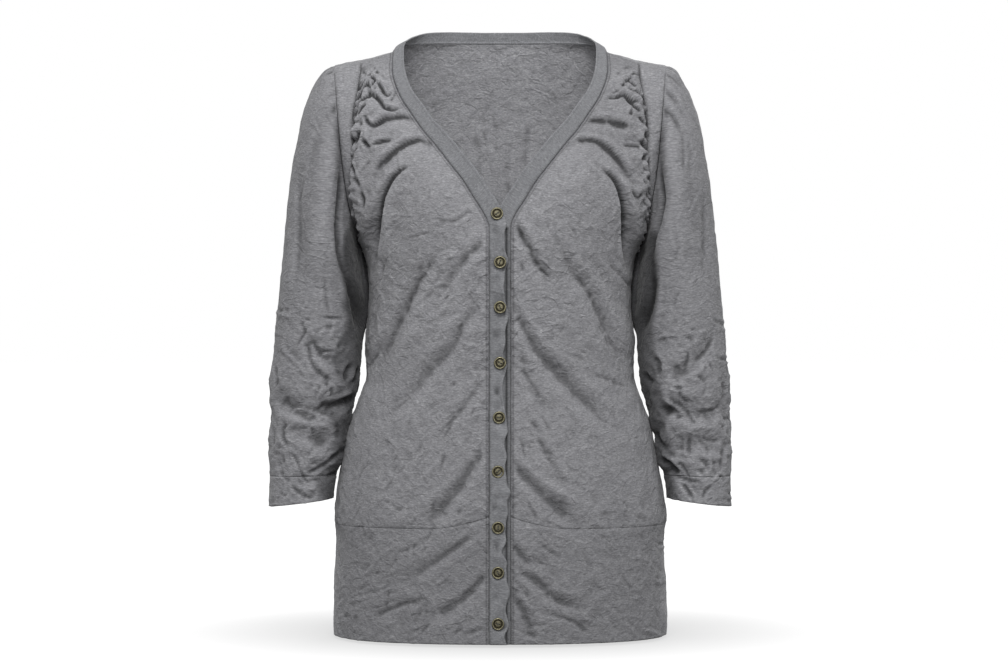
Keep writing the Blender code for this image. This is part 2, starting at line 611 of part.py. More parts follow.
def front_points(hand, rows):
    """Outer face of a front or of its hem band.

    A row is either a height below the strap foot or an armhole station above it.
    """
    shares = np.linspace(0.0, 1.0, FRONT_COLUMNS + 1)
    table = np.array(FRONT_YOKE)
    grid = []
    for kind, place in rows:
        if kind == "height":
            reach = side_reach(place)
            deep = body_depth(place)[0]
            start = np.array([PLACKET_SEAM, SIDE_Y - deep, place])
            end = np.array([reach, SIDE_Y, place])
        else:
            row = Yoke(*through(range(len(table)), table, place)[0])
            deep = row.deep
            reach = natural_reach(row.strap_x, SIDE_Y - row.strap_y, deep, FRONT_POWER)
            start = np.array([row.neck_x, row.neck_y, row.neck_z])
            end = np.array([row.strap_x, row.strap_y, row.strap_z])
        x, y = section(start[0], end[0], reach, deep, FRONT_POWER, -1)
        run = (x - start[0]) / (end[0] - start[0])
        y = y + (1 - run) * (start[1] - y[0]) + run * (end[1] - y[-1])
        rise = BUST_RISE * np.exp(-((x - BUST_AT[0]) / BUST_SIZE[0]) ** 2)
        z = start[2] + (end[2] - start[2]) * run
        fade = ease((x - start[0]) / BUST_EDGE) * ease((end[0] - x) / BUST_EDGE)
        y = y - fade * rise * np.exp(-((z - BUST_AT[1]) / BUST_SIZE[1]) ** 2)
        if kind == "height":
            near = np.exp(-((place - HIP_SEAM) / PUCKER_DEEP) ** 2)
            z = z + PUCKER_RISE * near * np.clip(1 - (x - PLACKET_SEAM) / PUCKER_WIDE, 0, 1) ** 2
        grid.append(share_out(np.stack([x, y, z], axis=1), shares))
    grid = np.array(grid)
    grid[:, :, 0] *= hand
    if hand < 0:
        grid = grid[:, ::-1]
    normal = normals(grid)
    from_centre = np.abs(grid[:, :, 0]) - np.abs(grid[:, :, 0]).min(axis=1, keepdims=True)
    to_seam = np.abs(grid[:, :, 0]).max(axis=1, keepdims=True) - np.abs(grid[:, :, 0])
    offset = fold_offset(grid[:, :, 0], grid[:, :, 2], FRONT_FOLDS)
    offset *= ease(from_centre / SEAM_CALM + 0.1) * ease(to_seam / SEAM_CALM + 0.2)
    if hand < 0:
        offset += lap_rise(grid[:, :, 0])
    for index, (kind, place) in enumerate(rows):
        if kind == "station":
            offset[index] *= ease((TIP_STEP - place) / 1.5)
            wave = math.cos(2 * math.pi * place) * ease(place / 2.0) * ease((TIP_STEP - place) / 1.5)
            offset[index] += GATHER_DEEP * wave * ease(1 - to_seam[index] / GATHER_RUN)
    return grid + normal * offset[:, :, None]


def front_rows():
    """Rows of a front from the hip seam to the shoulder seam."""
    heights = np.linspace(HIP_SEAM, STRAP_FOOT, FRONT_LOWER_ROWS + 1)[:-1]
    rows = [("height", float(height)) for height in heights]
    rows += [("station", float(station)) for station in FRONT_YOKE_STATIONS]
    return rows


def front_panel(side_name, hand):
    """One front, from the placket seam to the side seam and the strap."""
    grid = front_points(hand, front_rows())
    return Panel("front_" + side_name, grid, JERSEY, (SEAM, SEAM, SEAM, SEAM), False)


def hem_front_panel(side_name, hand):
    """Hem band of one front."""
    heights = np.linspace(HEM, HIP_SEAM, BAND_ROWS + 1)
    rows = [("height", float(height)) for height in heights]
    grid = front_points(hand, rows)
    return Panel("hem_band_" + side_name, grid, JERSEY, (SEAM, SEAM, 0.0, SEAM), False)


def strap_panel(side_name, hand):
    """Narrow strip between the gathered front and the sleeve."""
    table = np.array(FRONT_YOKE)
    grid = []
    for station in FRONT_YOKE_STATIONS:
        row = Yoke(*through(range(len(table)), table, station)[0])
        inner = np.array([row.strap_x, row.strap_y, row.strap_z])
        outer = armhole_at(station)
        middle = (inner + outer) / 2
        bulge = np.array([0.25, -1.0, 0.0]) * np.linalg.norm(outer - inner) * STRAP_BULGE
        grid.append([inner, middle + bulge, outer])
    grid = np.array(grid)
    grid[:, :, 0] *= hand
    if hand < 0:
        grid = grid[:, ::-1]
    trims = (SEAM, SEAM, STRAP_FOOT_CLEAR, SEAM)
    return Panel("armhole_strap_" + side_name, grid, JERSEY, trims, False)


def back_half(rows):
    """Outer face of the left half of the back, columns from the centre line outwards."""
    shares = np.arange(BACK_HALF_COLUMNS + 1) / BACK_HALF_COLUMNS
    spine = np.array(SPINE)[::-1]
    top = np.array(BACK_TOP)
    tip = top[-1]
    middle = top[0]
    edge = np.stack([np.interp(shares, top[:, 0], top[:, axis]) for axis in (1, 2, 3)], axis=1)
    top_x = edge[:, 0] / tip[1]
    top_y = (edge[:, 1] - tip[2]) / (middle[2] - tip[2])
    top_z = (edge[:, 2] - tip[3]) / (middle[3] - tip[3])
    grid = []
    for kind, place in rows:
        if kind == "height":
            reach = side_reach(place)
            end = np.array([reach, SIDE_Y, place])
            spine_y = SIDE_Y + body_depth(place)[1]
            spine_z = place
            wide = reach
            blend = 0.0
        else:
            end = armhole_at(place)
            spine_y, spine_z = through(spine[:, 0], spine[:, 1:], place)[0]
            fuller = end[0] * (1 + SHOULDER_ROUND * ease((RING_STEPS - place) / UNDERARM_STEPS))
            wide = max(fuller, natural_reach(end[0], end[1] - SIDE_Y, spine_y - SIDE_Y, BACK_POWER))
            blend = np.clip((YOKE_STEP - place) / (YOKE_STEP - TIP_STEP), 0.0, 1.0)
        x, y = section(0.0, end[0], wide, spine_y - SIDE_Y, BACK_POWER, 1)
        run = x / end[0]
        y = y + run ** 2 * (end[1] - y[-1])
        line = share_out(np.stack([x, y, 0 * x], axis=1), shares)
        flat = line[:, 0] / end[0]
        deep = (line[:, 1] - end[1]) / (spine_y - end[1])
        turn = blend * math.pi / 2
        flat = flat + (top_x - flat) * ease(blend)
        deep = deep + (top_y - deep) * (1 - math.cos(turn))
        x = end[0] * flat
        y = end[1] + (spine_y - end[1]) * deep
        z = end[2] + (spine_z - end[2]) * top_z
        grid.append(np.stack([x, y, z], axis=1))
    return np.array(grid)


def back_points(rows):
    """Outer face of the whole back, columns from the wearer's left to the right."""
    half = back_half(rows)
    other = half[:, 1:].copy()
    other[:, :, 0] *= -1
    grid = np.concatenate([half[:, ::-1], other], axis=1)
    normal = normals(grid)
    to_seam = np.abs(grid[:, :, 0]).max(axis=1, keepdims=True) - np.abs(grid[:, :, 0])
    offset = fold_offset(grid[:, :, 0], grid[:, :, 2], BACK_FOLDS)
    offset *= ease(to_seam / SEAM_CALM + 0.1)
    return grid + normal * offset[:, :, None]


def back_panel():
    """Back, from the hip seam to the shoulder seams and the back neck."""
    heights = np.linspace(HIP_SEAM, ARMHOLE[-1][2], BACK_LOWER_ROWS + 1)[:-1]
    rows = [("height", float(height)) for height in heights]
    rows += [("station", float(station)) for station in range(RING_STEPS, TIP_STEP - 1, -1)]
    return Panel("back", back_points(rows), JERSEY, (SEAM, SEAM, SEAM, BACK_TOP_CLEAR), False)


def hem_back_panel():
    """Hem band of the back."""
    heights = np.linspace(HEM, HIP_SEAM, 5)
    rows = [("height", float(height)) for height in heights]
    return Panel("hem_band_back", back_points(rows), JERSEY, (SEAM, SEAM, 0.0, SEAM), False)


# ---------------------------------------------------------------- sleeves
def sleeve_points(side_name, hand, stations):
    """Outer face of a sleeve or cuff, columns round the arm, rows from the wrist up."""
    turns = np.arange(RING_STEPS + 1) / RING_STEPS
    grid = np.array([sleeve_section(station, turns) for station in stations[::-1]])
    normal = np.cross(np.gradient(grid, axis=1), np.gradient(grid, axis=0))
    normal[:, 0] = normal[:, -1] = (normal[:, 0] + normal[:, -1]) / 2
    normal /= np.linalg.norm(normal, axis=2, keepdims=True)
    offset = np.zeros(grid.shape[:2])
    for face, flag in (("front", 1), ("back", -1)):
        middle = (grid[:, :1, 1] + grid[:, RING_STEPS // 2:RING_STEPS // 2 + 1, 1]) / 2
        turned = ease(flag * (middle - grid[:, :, 1]) / 24.0 + 0.3)
        offset += turned * fold_offset(grid[:, :, 0], grid[:, :, 2], SLEEVE_FOLDS[side_name, face])
    for index, station in enumerate(stations[::-1]):
        fade = ease(station / 0.5) * ease((2.6 - station) / 1.8)
        steps = np.arange(RING_STEPS + 1)
        wave = np.cos(math.pi * steps) * ease((4.5 - np.abs(steps - 13.0)) / 2.0)
        offset[index] += HEAD_GATHER * fade * wave
        offset[index] *= ease(station / 0.8)
    grid = grid + normal * offset[:, :, None]
    grid[:, :, 0] *= hand
    return grid[:, ::-1] if hand < 0 else grid


def sleeve_panel(side_name, hand):
    """Sleeve tube from the armhole to the cuff seam."""
    grid = sleeve_points(side_name, hand, SLEEVE_STATIONS)
    span = ARMHOLE[RING_STEPS // 2] - ARMHOLE[0]
    away = np.array([span[2], 0.0, -span[0]]) / np.hypot(span[0], span[2])
    grid[-1] += away * np.array([hand, 1.0, 1.0]) * 2 * SEAM
    return Panel("sleeve_" + side_name, grid, JERSEY, (0.0, 0.0, SEAM, 0.0), True)


def cuff_panel(side_name, hand):
    """Cuff band below the sleeve."""
    stations = list(np.linspace(CUFF_SEAM_ROW, len(SLEEVE) - 1, CUFF_ROWS + 1))
    grid = sleeve_points(side_name, hand, stations)
    return Panel("cuff_band_" + side_name, grid, JERSEY, (0.0, 0.0, 0.0, SEAM), True)


# ---------------------------------------------------------------- neck and placket band
def band_half(hand):
    """Seam edge and free edge of the band, from the hem to the centre back."""
    seam = []
    free = []
    for height in np.linspace(HEM, STRAP_FOOT, PLACKET_ROWS + 1)[:-1]:
        deep = SIDE_Y - body_depth(height)[0]
        seam.append((PLACKET_SEAM, deep, height))
        free.append((PLACKET_SEAM - PLACKET_WIDE, deep - 1.0, height))
    stations = [0, 1, 2, 2.5, 3, 3.5] + list(range(4, len(NECK_BAND)))
    for row in through(range(len(NECK_BAND)), NECK_BAND, stations):
        seam.append(tuple(row[:3]))
        free.append(tuple(row[3:]))
    seam = np.array(seam)
    free = np.array(free)
    middle = (seam + free) / 2
    strip = np.stack([seam, middle, free], axis=1)
    strip[:, :, 0] *= hand
    if hand < 0:
        strip[:, :, 1] -= lap_rise(strip[:, :, 0]) * (strip[:, :, 1] < 0)
    return strip


def band_panel():
    """One long strip: up the right front, round the neck, down the left front."""
    right = band_half(-1)
    left = band_half(1)[::-1]
    grid = np.concatenate([right, left[1:]], axis=0)
    return Panel("neckband_and_placket", grid, RIB, (SEAM, 0.0, 0.0, 0.0), False)


def placket_at(height):
    """Depth and lean of the buttonhole placket at a height."""
    strip = band_half(-1)
    order = np.argsort(strip[:, 1, 2])
    heights = strip[order, 1, 2]
    depths = strip[order].min(axis=1)[:, 1]
    low, middle, high = np.interp([height - BUTTON_WIDE / 2, height, height + BUTTON_WIDE / 2],
                                  heights, depths)
    return min(middle, (low + high) / 2), (high - low) / BUTTON_WIDE


# ---------------------------------------------------------------- buttons
def build_button(number, place, collection, cutters):
    """Dished two-hole button lying on the placket, turned from a profile."""
    name = "button_%d" % number
    half = BUTTON_WIDE / 2
    profile = [
        (0.0, 0.0),
        (half - 1.2, 0.0),
        (half, BUTTON_DEEP * 0.45),
        (half - 1.0, BUTTON_DEEP),
        (half - BUTTON_RIM - 0.7, BUTTON_DEEP - BUTTON_DISH),
        (0.0, BUTTON_DEEP - BUTTON_DISH),
    ]
    work = bmesh.new()
    verts = [work.verts.new((radius * MM, 0.0, high * MM)) for radius, high in profile]
    edges = [work.edges.new(pair) for pair in zip(verts[:-1], verts[1:])]
    bmesh.ops.spin(work, geom=verts + edges, cent=(0, 0, 0), axis=(0, 0, 1),
                   angle=2 * math.pi, steps=BUTTON_SIDES, use_merge=True)
    bmesh.ops.remove_doubles(work, verts=work.verts[:], dist=MERGE)
    bmesh.ops.recalc_face_normals(work, faces=work.faces[:])
    mesh = bpy.data.meshes.new(name)
    work.to_mesh(mesh)
    work.free()
    button = bpy.data.objects.new(name, mesh)
    button.data.materials.append(make_material(BRASS, name + "_metal"))
    collection.objects.link(button)
    surface, lean = placket_at(place.z)
    button.location = (place.x * MM, (surface - BUTTON_CLEAR) * MM, place.z * MM)
    button.rotation_euler = (math.atan2(1.0, lean), 0.0, 0.0)

    drill = bmesh.new()
    for way in (-1, 1):
        hole = bmesh.ops.create_cone(drill, cap_ends=True, segments=HOLE_SIDES,
                                     radius1=THREAD_HOLE / 2 * MM, radius2=THREAD_HOLE / 2 * MM,
                                     depth=4 * BUTTON_DEEP * MM)
        bmesh.ops.translate(drill, verts=hole["verts"], vec=(way * THREAD_APART / 2 * MM, 0, 0))
    drill_mesh = bpy.data.meshes.new(name + "_drill")
    drill.to_mesh(drill_mesh)
    drill.free()
    drill_piece = bpy.data.objects.new(name + "_drill", drill_mesh)
    drill_piece.location = button.location
    drill_piece.rotation_euler = button.rotation_euler
    drill_piece.hide_render = True
    drill_piece.display_type = "WIRE"
    cutters.objects.link(drill_piece)
    cut = button.modifiers.new("thread_holes", "BOOLEAN")
    cut.operation = "DIFFERENCE"
    cut.solver = "EXACT"
    cut.object = drill_piece
    return button


def build():
    """Build the whole cardigan."""
    for stray in list(bpy.data.objects):
        bpy.data.objects.remove(stray, do_unlink=True)
    parts = new_collection("button_cardigan")
    cutters = new_collection("cutters", cutters=True)
    panels = [back_panel(), hem_back_panel(), band_panel()]
    for side_name, hand in (("right", -1), ("left", 1)):
        panels.append(front_panel(side_name, hand))
        panels.append(strap_panel(side_name, hand))
        panels.append(sleeve_panel(side_name, hand))
        panels.append(cuff_panel(side_name, hand))
        panels.append(hem_front_panel(side_name, hand))
    directions = [panel_normals(panel) for panel in panels]
    agree_at_seams(panels, directions)
    for panel, direction in zip(panels, directions):
        loft_wall(panel, direction, parts)
    for number, place in enumerate(BUTTONS, start=1):
        build_button(number, place, parts, cutters)


build()
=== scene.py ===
"""Looks of a button cardigan: heather jersey, gathers, creases, sewing and brass buttons.

Lengths in the tables are millimetres, in the frame's axes: +Z up, the front faces -Y, the
wearer's left is +X.  Each cloth piece is a thin wall on the form of its solid, laid out as a
grid of rows and columns, with its broad folds, its creases and its gathers raised along it.
"""

import itertools
import logging
import math
from dataclasses import dataclass, field, replace
from enum import Enum
from typing import Iterable, Sequence

import bmesh
import bpy
import numpy as np
from mathutils import Matrix, Vector


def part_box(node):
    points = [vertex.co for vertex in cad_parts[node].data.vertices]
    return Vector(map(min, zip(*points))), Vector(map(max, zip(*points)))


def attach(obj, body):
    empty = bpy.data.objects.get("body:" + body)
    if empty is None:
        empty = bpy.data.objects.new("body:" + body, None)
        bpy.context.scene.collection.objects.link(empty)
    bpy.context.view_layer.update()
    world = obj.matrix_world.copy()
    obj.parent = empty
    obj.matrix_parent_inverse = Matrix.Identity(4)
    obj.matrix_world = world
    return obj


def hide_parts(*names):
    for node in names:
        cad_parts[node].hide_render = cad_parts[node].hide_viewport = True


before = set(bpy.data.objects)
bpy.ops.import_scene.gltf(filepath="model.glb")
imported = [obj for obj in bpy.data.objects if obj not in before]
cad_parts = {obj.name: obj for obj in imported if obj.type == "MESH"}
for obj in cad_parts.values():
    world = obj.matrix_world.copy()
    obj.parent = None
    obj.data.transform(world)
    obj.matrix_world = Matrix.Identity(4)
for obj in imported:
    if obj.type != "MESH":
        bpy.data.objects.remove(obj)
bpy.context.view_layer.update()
LOG = logging.getLogger("cardigan")

MM = 0.001

# ---------------------------------------------------------------- sizes shared by the pieces
HEM = -676.0           # heights are counted from the shoulders
HIP_SEAM = -549.0
STRAP_FOOT = -238.0    # where each strap meets the side seam
SIDE_Y = 4.0           # depth of the side seams
PLACKET_SEAM = 12.0    # from the centre line to the seam of the placket
PLACKET_WIDE = 19.0
LAP = 2.0              # the right front lies this far over the left one
LAP_RUN = 36.0         # and rises over this distance
FRONT_POWER = 2.4      # squareness of the body's sections
BACK_POWER = 2.2
RING_STEPS = 28        # stations round the armhole, from the underarm up the front
TIP_STEP = 12          # station of the shoulder seam
YOKE_STEP = 20         # station from which the back turns in to the shoulder seam
PUCKER_RISE = 14.0     # how far the plackets draw up the hip seam
PUCKER_DEEP = 40.0     # how far above and below the seam they do
PUCKER_WIDE = 75.0     # and how far from the placket
BUST_RISE = 13.0       # fullness at the bust, with its middle, half widths and soft edge
BUST_AT = (76.0, -182.0)
BUST_SIZE = (46.0, 62.0)
BUST_EDGE = 30.0
STRAP_BULGE = 0.05     # rise of the strap, as a share of its width
STRAP_WAY = np.array([0.25, -1.0, 0.0])        # and which way
WIDEST_SHARE = 0.76    # a point counts as no further from the sides than this share of the depth
SHOULDER_ROUND = 0.08  # how much fuller the back is than the armhole's edge
UNDERARM_STEPS = 8.0   # stations over which it becomes so
SECTION_FINENESS = 360
CUFF_SEAM_ROW = 14     # sleeve section at the cuff's seam
SEAM_CALM = 12.0       # broad folds flatten over this distance from a seam
CREASE_CALM = 3.0      # creases flatten over this distance from a seam
SEAM_GAP = 0.08        # each piece stops this far short of a seam
SEAM_ROWS = np.array([SEAM_GAP, 0.9, 1.6])     # rows of points kept beside the hip seam
FINE_EDGE = (0.8, 1.6, 2.4, 3.2, 4.2, 5.6)     # columns kept beside an edge
TOPSTITCH = 2.8        # from the band's seam to its topstitching
FOLD_START = 0.6       # folds begin this much narrower than in the solids
FOLD_FAINT = 0.5       # and this much shallower
PUFF = 3.5             # rise of the gathered cloth beside the strap
PUFF_EDGE = 8.0        # over this distance, and gone again over the next
PUFF_REACH = 26.0
GATHER_DEEP = 1.35     # depth of the gathers, as a share of what their tables say
CRUSH_SQUEEZE = np.array([0.55, 0.55, 1.0])    # crumpling is drawn out across the strap
CRUSH_REACH = 30.0     # small crumpling fades over this distance from the strap
HEAD_ROLL = 9.0        # rise of the sleeve beside the front of the armhole seam
HEAD_EDGE = 11.0       # over this distance, and gone again over the next
HEAD_REACH = 32.0
TURN_UNDER = 2.5       # seam allowance of the back laid under the sleeve
TURN_IN = 2.2          # seam allowance turned inwards at the armhole
JOIN_ROWS = 7.0        # the front is smoothed over this many rows where its yoke starts
JOIN_TALL = 30.0       # and over this height
FAR_OFF = 1e3          # stands for a seam that is nowhere near

JERSEY_WALL = 1.0
BAND_WALL = 1.3

# height, half width of the body
SIDE = np.array([
    (-676, 190.5), (-661, 190.9), (-638, 190.3), (-615, 189.6), (-592, 188.5), (-569, 187.8),
    (-557, 188.2), (-546, 190.2), (-534, 190), (-523, 188.2), (-500, 185.1), (-477, 181.1),
    (-454, 177.3), (-431, 171.6), (-419, 166.4), (-408, 162.5), (-397, 157.9), (-385, 153.8),
    (-374, 153.2), (-339, 153.4), (-316, 150.9), (-293, 150.2), (-276, 150.6), (-259, 152.6),
    (-241, 156.2), (-230, 160.2),
])
# height, reach of the front, reach of the back
DEPTH = np.array([
    (-676, 120, 116), (-620, 118, 120), (-549, 116, 123), (-500, 115, 121), (-454, 111, 112),
    (-410, 106, 97), (-374, 103, 87), (-330, 107, 83), (-293, 112, 87.5), (-258, 117, 94.5),
    (-238, 121, 97.5),
])
# front above the strap foot, a row for each armhole station:
# neck edge x y z, strap edge x y z, depth of the section
FRONT_YOKE = np.array([
    (12, -117, -238, 157.1, 4, -238, 121), (12, -116.5, -226, 158.8, -11, -228, 121.5),
    (12.8, -116, -211, 161.4, -23, -216, 122), (19, -115, -197.5, 164.6, -34.5, -203, 122),
    (29, -113.5, -182, 168.4, -44, -187, 121), (41, -111.5, -162.5, 169.5, -51, -168, 119),
    (55.3, -108, -144, 168.6, -56.5, -147, 115), (72.1, -100, -122.3, 167, -59.5, -125, 108),
    (86.5, -92, -104.8, 167.4, -59.5, -102, 99), (100.6, -80, -83.9, 166.2, -56, -81, 87),
    (112.5, -65.5, -64.5, 162.4, -48, -62, 70), (121.8, -42, -38, 159.4, -36, -42, 44),
    (122.5, -14, -9.6, 158.5, -22.13, -23.2, 0),
])
# centre line of the back above the underarm: armhole station, y, z
SPINE = np.array([
    (12, 78, 9.5), (14, 82.5, -2), (16, 90, -28), (18, 99.5, -66), (20, 104.6, -104), (22, 106.2, -149),
    (24, 105.4, -190), (26, 103.6, -218), (28, 102.4, -230.2),
])
# top edge of the back: share of the half width, x, y, z
BACK_TOP = np.array([
    (0, 0, 78, 9.5), (1 / 12, 23, 77, 9.5), (2 / 12, 45, 74, 9.3), (3 / 12, 65, 68, 8.8),
    (4 / 12, 84, 58.5, 7.8), (5 / 12, 100, 46, 6), (6 / 12, 112, 28, 3), (7 / 12, 119.5, 8, -0.8),
    (8 / 12, 122.5, -14, -9.6), (1, 189.41, -29.1, -34.88),
])
# neck band from the strap foot to the centre back: seam edge x y z, free edge x y z
NECK_BAND = np.array([
    (12, -117, -238, -7, -118.4, -238), (12, -116.5, -226, -7, -118, -226),
    (12.8, -116, -211, -5.5, -117.4, -206.5), (19, -115, -197.5, 2.5, -116.6, -186.5),
    (29, -113.5, -182, 13, -115.6, -170.5), (41, -111.5, -162.5, 25.5, -114, -151),
    (55.3, -108, -144, 40.5, -110.8, -132), (72.1, -100, -122.3, 58.5, -104, -110),
    (86.5, -92, -104.8, 73.5, -96.4, -93.5), (100.6, -80, -83.9, 87.5, -84.4, -73.5),
    (112.5, -65.5, -64.5, 99, -69.4, -56.5), (121.8, -42, -38, 107.4, -44, -32.5),
    (122.5, -14, -9.6, 109.5, -13, -2.5), (119.5, 8, -0.8, 105.5, 9, 7), (112, 28, 3, 100, 26.5, 12.5),
    (100, 46, 6, 91, 43, 17.6), (84, 58.5, 7.8, 78, 54.5, 20.6), (65, 68, 8.8, 60.5, 63.5, 22),
    (45, 74, 9.3, 42, 69, 22.4), (23, 77, 9.5, 21.5, 71.8, 22.4), (0, 78, 9.5, 0, 72.6, 22.4),
])
# sleeve sections: outer point x z, inner point x z, outer y, inner y, reach to the front,
# reach to the back, outward bow
SLEEVE = np.array([
    (190.6, -24.7, 160.5, -230.2, -8, 4, 50, 50, 9), (205, -36, 162.6, -238, -7, 3, 54.5, 53, 6),
    (222.5, -70, 161.4, -249, -6, 2, 59.5, 58, 2.5), (233.6, -117, 159, -262, -5, 1, 62.5, 61.5, 0),
    (241.7, -170, 156.2, -279, -5, 0, 63, 62, 0), (247.6, -229, 154.6, -299, -5, -1, 62, 61, 0),
    (253, -283, 155.6, -320, -6, -3, 60, 60, 0), (257.3, -327, 158.2, -345, -8, -5, 57, 58, 0),
    (259.6, -353, 159.2, -362, -9, -7, 55, 56, 0), (262.8, -382, 161, -384, -11, -9, 54, 55, 0),
    (262.4, -403, 165.4, -403.5, -12, -11, 53, 54, 0),
    (261, -419.5, 170.6, -418.5, -13, -12, 51, 52, 0),
    (263.4, -445, 179.2, -442.6, -15, -14, 48, 50, 0), (264, -472, 183.6, -471, -17, -16, 45, 46, 0),
    (262.9, -494, 187.2, -493, -18.5, -18, 42.5, 43, 0),
    (264.2, -528.5, 190.6, -519.5, -20, -20, 41.5, 42, 0),
])
# button centres, x and z
BUTTONS = [
    (-3.1, -199.5), (0.2, -252.9), (0.2, -302.6), (0.2, -364.5), (-0.9, -425.2), (-2, -484.9),
    (-2, -546.8), (-2, -596.5), (-2, -652.8),
]


# ---------------------------------------------------------------- creases
@dataclass(frozen=True)
class Crease:
    """A fold of the cloth along a path seen from the front or the back.

    Half width and depth are given at the start and the end; a negative depth is a ridge, and
    lean makes one flank steeper than the other.
    """

    path: tuple[tuple[float, float], ...]
    wide_start: float
    wide_end: float
    deep_start: float
    deep_end: float
    lean: float = 0.0


def creases_in(table: str) -> list[Crease]:
    """Creases from a text table.

    Args:
        table: For each crease its half widths at the start and the end, its depths there and
            its lean if it has one, then a colon, the x,z of each point of its path, and a
            semicolon.

    Returns:
        The creases.
    """
    made = []
    for entry in filter(str.strip, table.split(";")):
        shape, points = entry.split(":")
        path = tuple(tuple(map(float, point.split(","))) for point in points.split())
        made.append(Crease(path, *map(float, shape.split())))
    return made


ROLL_SHARE = 0.4       # height of the raised edge beside a trough, as a share of its depth
ROLL_AWAY = 1.7        # distance of the raised edge from the trough, in half widths
ROLL_WIDE = 0.8        # its own half width, in half widths of the trough
FAR_ROLL = 0.5         # height of the roll on the other side, as a share of the first
FOLD_REACH = 4.0       # a fold has died out at this many half widths
FOLD_GROWS = 0.3       # a fold grows over this share of its length
FOLD_DIES = 0.35       # and dies out over this one

# Light and shade painted into the colour of the cloth, as shares of its brightness: painted highlights
# on crests, painted shade in pits, hollows and under the arms, painted light on the sides and the
# inside of the back.
CREST_SCALES = ((3.5, 1.4), (11.0, 14.0), (22.0, 15.0))     # reach, and height that counts as 1
CREST_PAINTED_HIGHLIGHT = 0.13      # painted highlight: how much paler the crests are
PIT_SLOPE = 0.19       # painted shade: how much darker a pit is, and how that grows with its depth
PIT_CURVE = 0.42
PIT = -1.15            # cloth this low is as dark as it gets
SLEEVE_PIT = -0.95
SOFT_PIT = -0.85       # the same on the smoother cloth below the yoke
YOKE_FOOT = -285.0     # where that begins
YOKE_SHARP = 0.7       # how much stronger the painted light and shade of crests and pits is beside the strap
ARM_PIT = -196.0       # height below which the sleeve shades the body
ARM_SHADE = 0.88       # painted shade: how much darker the front is painted against the sleeve
ARM_WIDE = 6.5
PIT_SHADE = 0.8        # painted shade: how much darker the strap and the sleeve are painted under the arm
PIT_RUN = 16.0
SIDE_PAINTED_LIGHT = 0.72     # painted light: how much paler the cloth is painted along the side seams
SIDE_TOP = -320.0      # below this height
SIDE_WIDE = 42.0
HEM_SHADE = 0.13       # painted shade: how much darker the hem band is painted than the body
YOKE_SHADE = 0.12      # painted shade: how much darker the left yoke is painted than the right one
YOKE_SHADE_AT = -160.0
# Painted light and shade of the fronts: height, and factor for their brightness there.
FRONT_PAINTED_LIGHT = ((-520, 0.95), (-395, 0.94), (-340, 1.0), (-285, 1.08), (-230, 1.06), (-180, 1.0))
INSIDE_PAINTED_LIGHT = 0.34     # painted light: how much paler the upper back is painted, where its inside shows
INSIDE_FOOT = -270.0   # from this height up
INSIDE_WIDE = 150.0    # and this far from the centre line
BACK_NECK_PAINTED_LIGHT = 0.28  # painted light: the same for the band round the back of the neck
SLEEVE_SHADE = 0.07    # painted shade: how much darker the sleeves are painted above the cuffs
SLEEVE_SHADE_AT = -480.0       # from this height up
SEAM_SHADE = 0.45      # painted shade: how much darker the sleeve is painted where it dives to the armhole seam
SEAM_SHADE_WIDE = 6.5
INNER_SHADE = 0.4      # painted shade: how much darker again its hollow is painted right against the body
INNER_WIDE = 7.0
HOLLOW_EDGE = 7.0      # width of the hollow's soft edge
HOLLOW_DEEP = 4.0      # how far its cloth lies back

# Main folds of the fronts, the back and the sleeves, on the same lines as in the solids.
FRONT_FOLDS = creases_in("""
4 10 2 9.5: -94,-145 -113,-152 -128,-172 -136,-196 -141,-224 -146,-252;
4.6 7 3 3.6 -0.3: -64,-131 -77,-121 -93,-116 -111,-124 -128,-138 -143,-158;
4.6 6 2.6 3.4 -0.3: -86,-98 -98,-92 -115,-89 -131,-92 -148,-103;
4 5 2 2.6: -110,-78 -122,-82 -136,-72 -148,-57;
7 9 3.5 1.5: -13,-228 -32,-243 -49,-262 -59,-278 -69,-297;
9 12 2 6.5: -59,-234 -77,-253 -98,-286 -117,-325 -134,-356 -148,-378;
9 12 4 4: -16,-293 -39,-319 -52,-345 -77,-372 -105,-402 -138,-430;
8 9 3 1.5: -20,-383 -36,-408 -53,-430 -66,-459;
8 11 4 5: -14,-451 -31,-480 -50,-507 -70,-531 -84,-552;
8 10 3.5 2.5: -33,-558 -66,-581 -91,-597 -117,-612;
8 10 4 2.5: -11,-594 -33,-618 -55,-636 -83,-650;
7 8 2 2.5: -83,-626 -117,-636 -143,-649;
4 10 2 9.5: 103,-142 123,-158 136,-180 141,-205 143,-226 147,-252;
4.6 7 3 3.6 0.3: 66,-131 78,-122 95,-115 111,-118 128,-132 147,-164;
4.6 6 2.6 3.4 0.3: 88,-98 103,-92 121,-91 150,-101;
4 5 1.6 2.6: 118,-70 134,-65 150,-77;
7 9 4 2: 13,-202 25,-225 37,-248 48,-266 56,-282;
9 12 2 6: 62,-225 78,-259 98,-284 115,-315 129,-344 148,-373;
8 12 4 6: 9,-295 25,-322 42,-352 69,-380 98,-408 134,-437;
8 9 2.5 2: 22,-345 30,-378 44,-405 64,-423;
7 8 2.5 2.5: 33,-422 44,-453 59,-483 73,-508;
8 12 4 5.5: 9,-467 28,-492 50,-514 69,-530 88,-545;
7 8 4 1.5: 9,-560 25,-579 38,-591;
8 10 3 3.5: 22,-594 41,-608 58,-623 98,-642;
7 8 4 2.5: 8,-620 23,-634 31,-651 40,-667;
7 8 2 2.5: 50,-640 83,-652 102,-666;
""")
